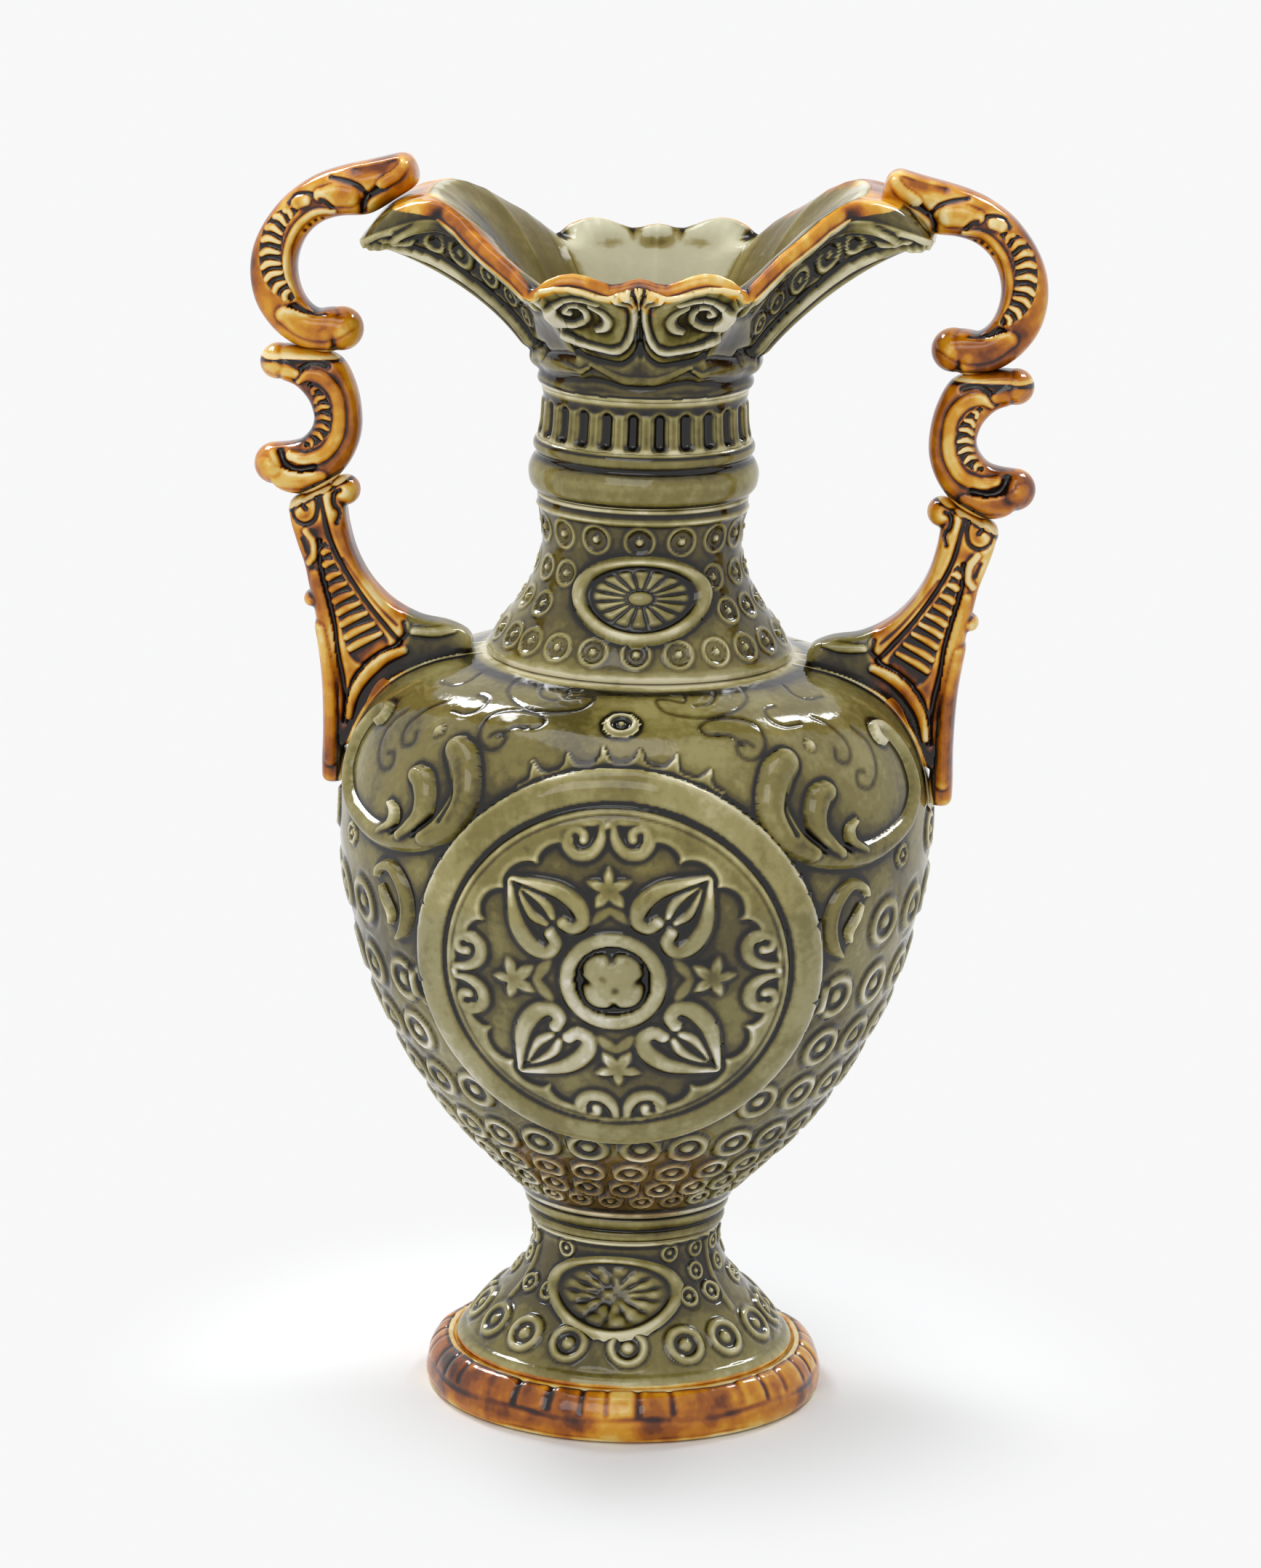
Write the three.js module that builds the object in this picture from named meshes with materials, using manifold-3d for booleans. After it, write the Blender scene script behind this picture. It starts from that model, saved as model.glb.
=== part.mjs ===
// Two-handled glazed earthenware vase, built from its separate castings and applied reliefs.
// Millimetres, +Z up, front towards -Y, handles on +X and -X, origin under the foot's middle.
import * as THREE from 'three';
import { mergeVertices } from 'three/addons/utils/BufferGeometryUtils.js';
import Module from 'manifold-3d';

const wasm = await Module();
wasm.setup();

// Clearances and walls
const SEAT = 0.3;             // slip line between two pieces that are luted together
const WALL = 4.5;             // wall of every hollow casting

// Foot ring
const FOOT_R = 61;            // widest radius, on the lower roll
const FOOT_H = 15.4;          // crown of the ring
const FOOT_ROLL = 7;          // half the width of its rounded section
const FOOT_GROUND_R = 57.5;   // outer radius of the unglazed face that it stands on
const FOOT_BORE_R = 46;       // bore, which is also the width of the pedestal's seat
const FOOT_LEDGE_H = 13.2;    // ledge that carries the pedestal

// Pedestal, open below
const SKIRT_R = 51.5;
const SKIRT_EDGE = 3;         // upright edge of the skirt
const STEM_R = 28.2;          // waist of the stem
const PEDESTAL_H = 39.5;

// Stem collar of two roll mouldings
const COLLAR_R = 31.2;
const COLLAR_H = 8.8;

// Body
const BODY_FOOT_R = 32.2;
const BODY_BELLY_R = 89.3;
const BODY_BELLY_H = 117.8;   // from the body's foot up to the belly
const BODY_SHOULDER_H = 54;   // from the belly to where the shoulder curve would close
const BODY_MOUTH_R = 46;      // radius at which the shoulder meets the neck
const BODY_BORE_R = 38;       // opening inside the shoulder

// Neck, ring, fluted collar
const NECK_FLANGE_H = 2.4;
const NECK_THROAT_R = 29.9;
const NECK_H = 48.6;
const RING_R = 34.4;          // rope-thick ring round the neck
const RING_H = 16.6;
const FLUTE_R = 30.6;         // crown of the fluted collar
const FLUTES = 24;
const FLUTE_DEPTH = 1.3;
const FLUTED_H = 15;

// Mouth with four lobes
const MOUTH_FOOT_R = 31.4;
const MOUTH_H = 60;           // from its foot to the top of the spouts
const LIP_DEPTH = 53;         // reach of the front and back lobes
const LIP_DROP = 20.5;        // how far those lobes lie below the spouts
const CUSP_DROP = 24;         // how far the four notches lie below the spouts
const SPOUT_X = 66.5;         // crest of each spout
const BEAK_X = 85;            // reach of the beak under each handle
const BEAK_DROP = 15.8;
const SPOUT_HALF_W = 19;
const LIP_THICKNESS = 4;

// Handles
const SCROLL_T = 16;          // thickness of the top scroll, along Y
const CURL_T = 15;            // thickness of the middle scroll
const BRACKET_T = 14;         // thickness of the lower bracket
const HANDLE_BEVEL = 2.2;
const PANEL_DEPTH = 1.3;
const HANDLE_RISE = 7.8;      // tip of the top scroll above the spouts
const TOP_JOINT_DROP = 62;    // from the handle's top to the joint below the top scroll
const LOW_JOINT_DROP = 103.2; // and to the joint above the bracket
const LOW_JOINT_OUT = 13;     // that joint's middle, outwards from the beak
const LOW_JOINT_TILT = 29.5;  // its slope in degrees
const DRAWN = 1;              // one step in the drawn outlines of handles and leaves

// Reliefs
const MEDAL_R = 59;
const MEDAL_DROP = 25.3;      // from the belly down to its middle
const MEDAL_TILT = 2.7;       // degrees that its pattern is turned
const MEDAL_BAND = 8;
const MEDAL_RISE = 3.8;
const BOSS_R = 9.7;
const NECK_OVAL_W = 20.4;
const NECK_OVAL_H = 12.2;
const FOOT_OVAL_W = 20.3;
const FOOT_OVAL_H = 10.7;
const PETALS = 12;
const LEAF_RISE = 3.6;
const LEAF_GAP = 7.4;         // from the medallion's edge to the middle of the nearest leaf
const STUD_RISE = 1.1;        // ring-shaped studs of the lower body
const STUD_R = 5.8;

// Facets round each revolved piece
const FACETS = 40;
const STEM_FACETS = 32;       // and round the slimmer ones

const SEAL_GREEN = { color: 0x64624a, roughness: 0.16, metalness: 0 };
const AMBER = { color: 0xa8621c, roughness: 0.18, metalness: 0 };
const PALE_GREEN = { color: 0x85836a, roughness: 0.18, metalness: 0 };

const vase = new THREE.Group();
vase.name = 'vase';

// Heights of the stack, each seated on the piece below
const pedestalZ = FOOT_LEDGE_H + SEAT;
const collarZ = pedestalZ + PEDESTAL_H + SEAT;
const bodyZ = collarZ + COLLAR_H + SEAT;
const bellyZ = bodyZ + BODY_BELLY_H;
const medalZ = bellyZ - MEDAL_DROP;
const shoulderRise = (r) => BODY_SHOULDER_H * Math.cbrt(1 - (r / BODY_BELLY_R) ** 2.6);
const shoulderZ = bellyZ + shoulderRise(BODY_MOUTH_R);
const neckZ = shoulderZ + SEAT;
const ringZ = neckZ + NECK_H + SEAT;
const flutedZ = ringZ + RING_H + SEAT;
const mouthZ = flutedZ + FLUTED_H + SEAT;
const spoutZ = mouthZ + MOUTH_H;
const handleZ = spoutZ + HANDLE_RISE;

// Closed geometry helpers

function signedVolume(geometry) {
  const p = geometry.attributes.position;
  const index = geometry.index;
  const [a, b, c] = [new THREE.Vector3(), new THREE.Vector3(), new THREE.Vector3()];
  let volume = 0;
  for (let i = 0; i < index.count; i += 3) {
    a.fromBufferAttribute(p, index.getX(i));
    b.fromBufferAttribute(p, index.getX(i + 1));
    c.fromBufferAttribute(p, index.getX(i + 2));
    volume += a.dot(b.cross(c)) / 6;
  }
  return volume;
}

function closed(geometry) {
  const bare = new THREE.BufferGeometry();
  bare.setAttribute('position', geometry.attributes.position);
  bare.setIndex(geometry.index);
  const merged = mergeVertices(bare, 1e-4);
  const kept = [];
  const array = merged.index.array;
  for (let i = 0; i < array.length; i += 3) {
    const [a, b, c] = [array[i], array[i + 1], array[i + 2]];
    if (a !== b && b !== c && c !== a) kept.push(a, b, c);
  }
  merged.setIndex(kept);
  if (signedVolume(merged) < 0) {
    for (let i = 0; i < kept.length; i += 3) [kept[i], kept[i + 1]] = [kept[i + 1], kept[i]];
    merged.setIndex(kept);
  }
  return merged;
}

function solidOf(geometry) {
  const g = closed(geometry);
  return new wasm.Manifold(new wasm.Mesh({
    numProp: 3,
    vertProperties: new Float32Array(g.attributes.position.array),
    triVerts: new Uint32Array(g.index.array),
  }));
}

function geometryOf(solid) {
  const mesh = solid.getMesh();
  const g = new THREE.BufferGeometry();
  g.setAttribute('position', new THREE.BufferAttribute(new Float32Array(mesh.vertProperties), 3));
  g.setIndex(new THREE.BufferAttribute(new Uint32Array(mesh.triVerts), 1));
  return g;
}

function revolve(profile, facets = FACETS) {
  const points = profile.map(([r, z]) => new THREE.Vector2(r, z));
  if (profile[0][0] > 0) points.push(points[0].clone());
  return closed(new THREE.LatheGeometry(points, facets).rotateX(Math.PI / 2));
}

// Skin through rows of points: closed both ways, or with a cap at each end
function loft(rows, loops) {
  const n = rows[0].length;
  const positions = [];
  const index = [];
  for (const row of rows) for (const p of row) positions.push(p.x, p.y, p.z);
  const last = loops ? rows.length : rows.length - 1;
  for (let i = 0; i < last; i++) {
    const [a, b] = [i * n, ((i + 1) % rows.length) * n];
    for (let j = 0; j < n; j++) {
      const k = (j + 1) % n;
      index.push(a + j, b + j, a + k, a + k, b + j, b + k);
    }
  }
  if (!loops) {
    const end = (rows.length - 1) * n;
    for (let j = 1; j < n - 1; j++) index.push(0, j, j + 1, end, end + j + 1, end + j);
  }
  const g = new THREE.BufferGeometry();
  g.setAttribute('position', new THREE.Float32BufferAttribute(positions, 3));
  g.setIndex(index);
  return closed(g);
}

function add(name, geometry, material, turn = 0) {
  const skin = geometry.clone();
  skin.computeVertexNormals();
  const mesh = new THREE.Mesh(skin, new THREE.MeshStandardMaterial(material));
  mesh.name = name;
  mesh.rotation.z = turn;
  vase.add(mesh);
}

const mirrored = (geometry) => closed(geometry.clone().scale(-1, 1, 1));

// Outer radii of the castings, which the reliefs follow too

function pedestalRadius(z) {
  const up = z - pedestalZ - SKIRT_EDGE;
  const run = PEDESTAL_H - SKIRT_EDGE - 3;
  const left = Math.max(0, 1 - up / run);
  return up <= 0 ? SKIRT_R : STEM_R + (SKIRT_R - STEM_R) * left ** 1.5;
}

function bodyRadius(z) {
  const down = (bellyZ - z) / BODY_BELLY_H;
  if (down >= 0) return BODY_BELLY_R - (BODY_BELLY_R - BODY_FOOT_R) * down ** 2;
  const up = Math.min(1, -down * BODY_BELLY_H / BODY_SHOULDER_H);
  return BODY_BELLY_R * (1 - up ** 3) ** (1 / 2.6);
}

function neckRadius(z) {
  const throat = neckZ + NECK_H * 0.71;
  const low = Math.max(0, (throat - z) / (throat - neckZ));
  const high = Math.max(0, (z - throat) / (neckZ + NECK_H - throat));
  return NECK_THROAT_R + (BODY_MOUTH_R - NECK_THROAT_R) * low ** 1.6 + 2 * high ** 2;
}

// Foot ring: a smooth lower roll, a chamfer above it and a ledge for the pedestal

function footRing() {
  const middle = FOOT_R - FOOT_ROLL;
  const half = FOOT_H / 2 + 1;
  const profile = [[FOOT_BORE_R + 6, 0], [FOOT_GROUND_R, 0]];
  for (const degrees of [-35, -5, 25, 55, 85]) {
    const t = THREE.MathUtils.degToRad(degrees);
    profile.push([middle + FOOT_ROLL * Math.cos(t), FOOT_H - half + half * Math.sin(t)]);
  }
  profile.push([SKIRT_R + SEAT * 2, FOOT_LEDGE_H], [FOOT_BORE_R, FOOT_LEDGE_H], [FOOT_BORE_R, 4]);
  return revolve(profile);
}

function pedestal() {
  const top = pedestalZ + PEDESTAL_H;
  const outer = [[SKIRT_R, pedestalZ], [SKIRT_R, pedestalZ + SKIRT_EDGE]];
  const steps = 8;
  for (let i = 1; i <= steps; i++) {
    const z = pedestalZ + SKIRT_EDGE + (PEDESTAL_H - SKIRT_EDGE) * i / steps;
    outer.push([pedestalRadius(z) + (i === steps ? 0.7 : 0), z]);
  }
  const inner = [[STEM_R - WALL, top], [STEM_R - WALL, pedestalZ + PEDESTAL_H * 0.62]];
  inner.push([pedestalRadius(pedestalZ + PEDESTAL_H * 0.4) - WALL, pedestalZ + PEDESTAL_H * 0.3]);
  inner.push([FOOT_BORE_R, pedestalZ]);
  return revolve([...outer, ...inner], STEM_FACETS);
}

function stemCollar() {
  const [low, r] = [STEM_R + 0.9, COLLAR_R];
  const at = (share) => collarZ + COLLAR_H * share;
  return revolve([[low, at(0)], [r - 1.3, at(0.1)], [r - 1.1, at(0.3)], [low, at(0.42)],
    [r - 0.4, at(0.56)], [r, at(0.78)], [r - 1.1, at(1)],
    [STEM_R - WALL, at(1)], [STEM_R - WALL, at(0)]], STEM_FACETS);
}

// Body: closed below, open at the shoulder
const SHOULDER_SHARES = [0.32, 0.58, 0.78, 0.91, 1];

// Rows of studs: share of the height up to the belly, and degrees from the middle of each face
const STUDS = [
  [0.25, [0, 30, 60, 90]],
  [0.38, [45, 75]],
  [0.52, [60, 90]],
  [0.67, [56, 77]],
  [0.84, [66, 90]],
];

function body() {
  const outer = [[0, bodyZ], [BODY_FOOT_R, bodyZ]];
  for (const share of [0.09, 0.22, 0.38, 0.56, 0.77, 1]) {
    const z = bodyZ + BODY_BELLY_H * share;
    outer.push([bodyRadius(z), z]);
  }
  for (const share of SHOULDER_SHARES) {
    const z = bellyZ + (shoulderZ - bellyZ) * share;
    outer.push([bodyRadius(z), z]);
  }
  const inner = [[BODY_BORE_R, shoulderZ], [BODY_BORE_R, shoulderZ - WALL]];
  for (const share of [0.72, 0.3]) {
    const z = bellyZ + (shoulderZ - bellyZ) * share;
    inner.push([bodyRadius(z + WALL * 0.7) - WALL, z]);
  }
  for (const share of [0.7, 0.35, 0.1]) {
    const z = bodyZ + BODY_BELLY_H * share;
    inner.push([bodyRadius(z) - WALL * (share < 0.3 ? 1.5 : 1.1), z]);
  }
  inner.push([0, bodyZ + WALL * 1.4]);
  let solid = solidOf(revolve([...outer, ...inner]));
  for (const [share, places] of STUDS) {
    const z = bodyZ + BODY_BELLY_H * share;
    const [halfU, halfV] = [THREE.MathUtils.radToDeg(STUD_R / bodyRadius(z)), STUD_R * (0.72 + share / 4)];
    for (const place of places) {
      const turns = [place, -place, 180 - place, 180 + place];
      for (const turn of new Set(turns.map((t) => (t + 360) % 360))) {
        const rows = [[0.66, STUD_RISE - SEAT], [1, -0.6]];
        solid = solid.add(solidOf(sprig(onBody, turn, z, halfU, halfV, rows, 5, -2, -2)));
      }
    }
  }
  return geometryOf(solid);
}

function neck() {
  const outer = [[BODY_MOUTH_R, neckZ], [BODY_MOUTH_R, neckZ + NECK_FLANGE_H]];
  for (const share of [0.1, 0.2, 0.3, 0.42, 0.55, 0.7, 0.85, 1]) {
    const z = neckZ + NECK_H * share;
    outer.push([neckRadius(z), z]);
  }
  const inner = [];
  for (const share of [1, 0.7, 0.4, 0.2]) {
    const z = neckZ + NECK_H * share;
    inner.push([neckRadius(z) - WALL, z]);
  }
  return revolve([...outer, ...inner, [BODY_BORE_R, neckZ]], STEM_FACETS);
}

// Ring: a thick roll with a thin roll above it
function neckRing() {
  const r = RING_R;
  const at = (share) => ringZ + RING_H * share;
  return revolve([[NECK_THROAT_R + 1.6, at(0)], [r - 0.9, at(0.1)], [r, at(0.28)], [r, at(0.44)],
    [r - 2, at(0.69)], [r - 1.2, at(0.78)],
    [r - 2.8, at(1)], [NECK_THROAT_R - 3, at(1)], [NECK_THROAT_R - 3, at(0)]], STEM_FACETS);
}

// Fluted collar: upright flutes sunk into a slightly waisted band
function flutedCollar() {
  const stations = [[0, 0.9, 0], [0.14, 0.4, 1], [0.72, -0.2, 1], [0.8, -0.2, 0], [1, 0.3, 0]];
  const bore = NECK_THROAT_R - 3;
  const rows = [];
  const across = FLUTES * 3;
  for (let i = 0; i < across; i++) {
    const angle = 2 * Math.PI * i / across;
    const sunk = i % 3 === 0 ? 1 : 0;
    const row = stations.map(([share, extra, cut]) => {
      const r = FLUTE_R + extra - FLUTE_DEPTH * cut * sunk;
      return new THREE.Vector3(r * Math.cos(angle), r * Math.sin(angle), flutedZ + FLUTED_H * share);
    });
    for (const share of [1, 0]) {
      const z = flutedZ + FLUTED_H * share;
      row.push(new THREE.Vector3(bore * Math.cos(angle), bore * Math.sin(angle), z));
    }
    rows.push(row);
  }
  return loft(rows, true);
}

// Mouth: round at its foot, four lobes at its rim

const smooth = (t) => THREE.MathUtils.smoothstep(t, 0, 1);

// Azimuth is measured from the front or the back towards either side, 0 to 90 degrees
function rimAt(azimuth) {
  const cuspAt = 32;
  const spoutAt = THREE.MathUtils.radToDeg(Math.atan2(SPOUT_X - 3, SPOUT_HALF_W));
  const sine = Math.sin(THREE.MathUtils.degToRad(azimuth));
  if (azimuth <= cuspAt) {
    const share = azimuth / cuspAt;
    const hump = Math.sin(Math.PI * share ** 0.9) * 3;
    return [LIP_DEPTH + 8 * share ** 1.6, spoutZ - LIP_DROP - (CUSP_DROP - LIP_DROP) * share ** 2 + hump];
  }
  const share = Math.min(1, (azimuth - cuspAt) / (spoutAt - cuspAt));
  const side = (SPOUT_X - 2) / Math.sin(THREE.MathUtils.degToRad(spoutAt));
  const radius = LIP_DEPTH + 8 + (side - LIP_DEPTH - 8) * share - 2.5 * Math.sin(Math.PI * share);
  const reach = azimuth > spoutAt ? SPOUT_X / sine - 2 * smooth((90 - azimuth) / (90 - spoutAt)) : radius;
  return [reach, spoutZ - CUSP_DROP * (1 - Math.sin(Math.PI / 2 * share)) ** 1.15];
}

// A point on the mouth's flare, from its foot [r0, z0] at 0 to its edge [r1, z1] at 1
function flare(share, r0, z0, r1, z1) {
  const [a, b, c] = [3 * share * (1 - share) ** 2, 3 * share ** 2 * (1 - share), share ** 3];
  return [r0 + (r1 - r0) * (0.05 * a + 0.55 * b + c), z0 + (z1 - z0) * (0.34 * a + 0.86 * b + c)];
}

function mouthSection(azimuth) {
  const [rim, rimZ] = rimAt(azimuth);
  const beak = smooth((azimuth - 66) / 15);
  const sine = Math.sin(THREE.MathUtils.degToRad(Math.max(azimuth, 60)));
  const tip = rim + 0.8 + (BEAK_X / sine - rim - 0.8) * beak;
  const tipZ = rimZ - LIP_THICKNESS - (BEAK_DROP - LIP_THICKNESS) * beak;
  const shares = [0, 0.25, 0.5, 0.75];
  const outer = shares.map((s) => flare(s, MOUTH_FOOT_R, mouthZ, tip, tipZ - 1.5));
  const crest = [[tip, tipZ], [rim, rimZ], [rim - LIP_THICKNESS + 1, rimZ - 0.8]];
  const inner = [0.7, 0.35, 0].map((s) => flare(s, MOUTH_FOOT_R - WALL, mouthZ, rim - LIP_THICKNESS, rimZ - 3));
  return [...outer, ...crest, ...inner];
}

function mouth() {
  const facets = 60;
  const rows = [];
  for (let i = 0; i < facets; i++) {
    const turn = 360 * i / facets;
    const azimuth = Math.abs(((turn + 90) % 180) - 90);
    const t = THREE.MathUtils.degToRad(turn);
    rows.push(mouthSection(azimuth).map(([r, z]) => new THREE.Vector3(r * Math.sin(t), -r * Math.cos(t), z)));
  }
  return loft(rows, true);
}

// Reliefs pressed onto a surface given as a function of two running values

const onBody = (azimuth, z) => around(azimuth, z, bodyRadius(z));

function around(azimuth, z, r) {
  const t = THREE.MathUtils.degToRad(azimuth);
  return new THREE.Vector3(r * Math.sin(t), -r * Math.cos(t), z);
}

// A surface seen squarely from the front: x across, z up
const seenFromFront = (radius) => (x, z) => {
  const r = radius(z);
  return new THREE.Vector3(x, -Math.sqrt(Math.max(r * r - x * x, 1)), z);
};

function lifted(surface, u, v, height) {
  const step = 0.01;
  const here = surface(u, v);
  const du = surface(u + step, v).sub(here);
  const dv = surface(u, v + step).sub(here);
  return here.add(du.cross(dv).normalize().multiplyScalar(height));
}

// A round or oval sprig: rows of [share of the half width, rise above the seat],
// with its underside hollowed by the arch towards the middle
function sprig(surface, u0, v0, halfU, halfV, rows, facets, arch = 0, edge = 0) {
  const ring = (share, height) => {
    const points = [];
    for (let i = 0; i < facets; i++) {
      const t = 2 * Math.PI * i / facets;
      const [u, v] = [u0 + halfU * share * Math.cos(t), v0 + halfV * share * Math.sin(t)];
      points.push(lifted(surface, u, v, SEAT + (typeof height === 'function' ? height(t) : height)));
    }
    return points;
  };
  const skin = rows.map(([share, height]) => ring(share, height));
  const hollow = facets > 12 ? [[0.8, arch], [0.42, arch]] : [];
  const under = [[1, edge], ...hollow, [0.02, arch]];
  const below = under.map(([share, height]) => ring(share, height));
  return loft([...skin, ...below], false);
}

// A ribbon of relief along a path of [u, v, width, rise] stations, above a base height. A slim one is
// a plain ridge of three faces.
function ribbon(surface, path, unitU, base = 0, slim = false) {
  const rows = path.map(([u, v, width, rise], i) => {
    const [before, after] = [path[Math.max(i - 1, 0)], path[Math.min(i + 1, path.length - 1)]];
    const along = new THREE.Vector2((after[0] - before[0]) * unitU, after[1] - before[1]).normalize();
    const across = new THREE.Vector2(-along.y, along.x).multiplyScalar(width / 2);
    const at = (share, height) =>
      lifted(surface, u + across.x * share / unitU, v + across.y * share, SEAT + base + height);
    if (slim) return [at(-1, 0), at(0, rise), at(1, 0)];
    return [at(-1, 0), at(-0.7, rise * 0.8), at(0, rise), at(0.7, rise * 0.8), at(1, 0)];
  });
  return loft(rows, false);
}

function swept(keys, steps, widthAt, rise) {
  const curve = new THREE.CatmullRomCurve3(keys.map(([u, v]) => new THREE.Vector3(u, v, 0)));
  const path = [];
  for (let i = 0; i <= steps; i++) {
    const p = curve.getPoint(i / steps);
    path.push([p.x, p.y, widthAt(i / steps), rise * Math.min(1, 0.55 + 3 * Math.min(i, steps - i) / steps)]);
  }
  return path;
}

// The medallion's pattern, in its own plane and in parts of its radius: along and across a ray
const HEART_SIDE = [[0.35, 0.06], [0.38, 0.16], [0.55, 0.13], [0.7, 0.01]];
const HEART_LEAF = [[0.42, 0], [0.66, 0]];
const VOLUTE = [[0.79, 0.03], [0.66, 0.1], [0.75, 0.18]];

function medallion() {
  const surface = seenFromFront(bodyRadius);
  const share = (r) => r / MEDAL_R;
  const inside = MEDAL_R - MEDAL_BAND - 1;
  const field = MEDAL_RISE / 2;
  const rows = [[share(BOSS_R * 0.8), MEDAL_RISE], [share(BOSS_R), field],
    [share(BOSS_R + 1.6), MEDAL_RISE], [share(BOSS_R + 4.4), MEDAL_RISE], [share(BOSS_R + 5.6), field],
    [share(inside * 0.56), field], [share(inside * 0.84), field], [share(inside * 0.88), MEDAL_RISE * 0.7],
    [share(inside), field], [share(inside + 1.3), MEDAL_RISE], [0.97, MEDAL_RISE], [1, MEDAL_RISE * 0.4]];
  const [arch, edge] = [1, 0.25];
  const sunk = arch * 1.4;
  let solid = solidOf(sprig(surface, 0, medalZ, MEDAL_R, MEDAL_R, rows, 28, arch, edge));
  const ridge = (path, ray, side, width) => {
    const t = THREE.MathUtils.degToRad(ray - MEDAL_TILT);
    const stations = path.map(([out, beside]) => {
      const [a, b] = [out * MEDAL_R, beside * MEDAL_R * side];
      const [x, z] = [a * Math.cos(t) - b * Math.sin(t), medalZ + a * Math.sin(t) + b * Math.cos(t)];
      return [x, z, width * DRAWN, MEDAL_RISE - sunk];
    });
    solid = solid.add(solidOf(ribbon(surface, stations, 1, sunk, true)));
  };
  for (let i = 0; i < 4; i++) {
    for (const side of [1, -1]) {
      ridge(HEART_SIDE, 45 + 90 * i, side, 4.6);
      ridge(VOLUTE, 90 * i, side, 3.8);
    }
    ridge(HEART_LEAF, 45 + 90 * i, 1, 6);
    const w = THREE.MathUtils.degToRad(90 * i - MEDAL_TILT);
    const [a, b] = [Math.cos(w) * inside * 0.55, medalZ + Math.sin(w) * inside * 0.55];
    const star = sprig(surface, a, b, 5.4, 5.4, [[0.4, MEDAL_RISE - SEAT], [1, field]], 5, sunk, sunk);
    solid = solid.add(solidOf(star));
  }
  return geometryOf(solid);
}

function cartouche(surface, z, halfW, halfH, rise) {
  const petal = (t) => rise * (0.45 + 0.4 * Math.abs(Math.cos(t * PETALS / 2)));
  const rows = [[0.03, rise * 0.9], [0.18, rise * 0.4], [0.64, petal],
    [0.74, rise * 0.2], [0.84, rise], [1, rise * 0.5]];
  return sprig(surface, 0, z, halfW, halfH, rows, PETALS * 2, rise * 0.15, rise * 0.1);
}

// Leaf scrolls that flank the medallion, for the +X side. Stations near it are given as millimetres
// beyond its edge and degrees round its middle, and come out as degrees round the body and a height.
function besideMedallion([beyond, degrees]) {
  const t = THREE.MathUtils.degToRad(degrees);
  const out = MEDAL_R + beyond * DRAWN;
  const z = medalZ + out * Math.sin(t);
  const sine = Math.min(0.98, out * Math.cos(t) / bodyRadius(z));
  return [THREE.MathUtils.radToDeg(Math.asin(sine)), z];
}

function shoulderLeaf() {
  const unit = 1.45 * DRAWN;
  const far = [[68, 33], [72, 35], [74.5, 29], [73.5, 18], [69, 9], [62, 4.5]]
    .map(([turn, up]) => [turn, bellyZ + up * DRAWN]);
  const near = [[LEAF_GAP + 10.7, 22.7], [LEAF_GAP + 6.9, 28.8]].map(besideMedallion);
  const taper = (t) => (7 - 2.2 * Math.abs(2 * t - 0.9)) * DRAWN;
  let solid = solidOf(ribbon(onBody, swept([...far, ...near], 9, taper, LEAF_RISE), unit));
  const lobes = [[[6.6, 27.1], [4, 35.9], [5.7, 45.4], [7.5, 49.6]], [[7.6, 26.5], [7.4, 32.5], [9.5, 37]]];
  for (const keys of lobes) {
    const path = keys.map(([beyond, degrees]) => besideMedallion([LEAF_GAP + beyond, degrees]));
    const lobe = ribbon(onBody, swept(path, 4, (t) => (4 + 3 * t) * DRAWN, LEAF_RISE * 0.9), unit, 0, true);
    solid = solid.add(solidOf(lobe));
  }
  return geometryOf(solid);
}

function flankLeaf() {
  const comma = [[8.2, 13.4], [7, 16.6], [2.6, 14.5], [-0.4, 8.2], [-1, 1.2], [-0.6, -2.4]]
    .map(([beyond, degrees]) => besideMedallion([LEAF_GAP + beyond, degrees]));
  return ribbon(onBody, swept(comma, 7, (t) => (5 + 4 * t) * DRAWN, LEAF_RISE * 0.8), 1.5 * DRAWN);
}

// Boss in the space between the medallion and the neck
function shoulderBoss() {
  const rows = [[0.3, 1.8], [0.42, 0.5], [0.62, 1.6], [0.85, 1.6], [1, 0.5]];
  const space = shoulderZ - medalZ - MEDAL_R;
  const halfV = space * 0.2;
  const z = medalZ + MEDAL_R + space * 0.62;
  return sprig(onBody, 0, z, halfV * 1.5, halfV, rows, 10);
}

// Paired scrolls on the front and back lobes; the path runs in degrees and millimetres up the flare
function lipScroll() {
  const rise = MOUTH_H - LIP_DROP;
  const surface = (azimuth, up) => {
    const [rim, rimZ] = rimAt(Math.min(Math.abs(azimuth), 30));
    const [r, z] = flare(up / rise, MOUTH_FOOT_R, mouthZ, rim + 0.8, rimZ - LIP_THICKNESS - 1.5);
    return around(azimuth, z, r + SEAT);
  };
  const keys = [[5, 36], [4.2, 30], [4, 25], [7, 18.5], [13.5, 15.5], [20, 15.8], [26.5, 19.6], [30, 25.5], [30, 31],
    [27, 34.2], [22.6, 34], [19.6, 30]].map(([turn, up]) => [turn, up * DRAWN]);
  const right = ribbon(surface, swept(keys, 13, () => 5.2 * DRAWN, 2.6), 0.8 * DRAWN, SEAT * 1.5);
  return [right, mirrored(right)];
}

// Handle members, drawn in the plane of the handle for the +X side: x outwards, z up

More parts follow.
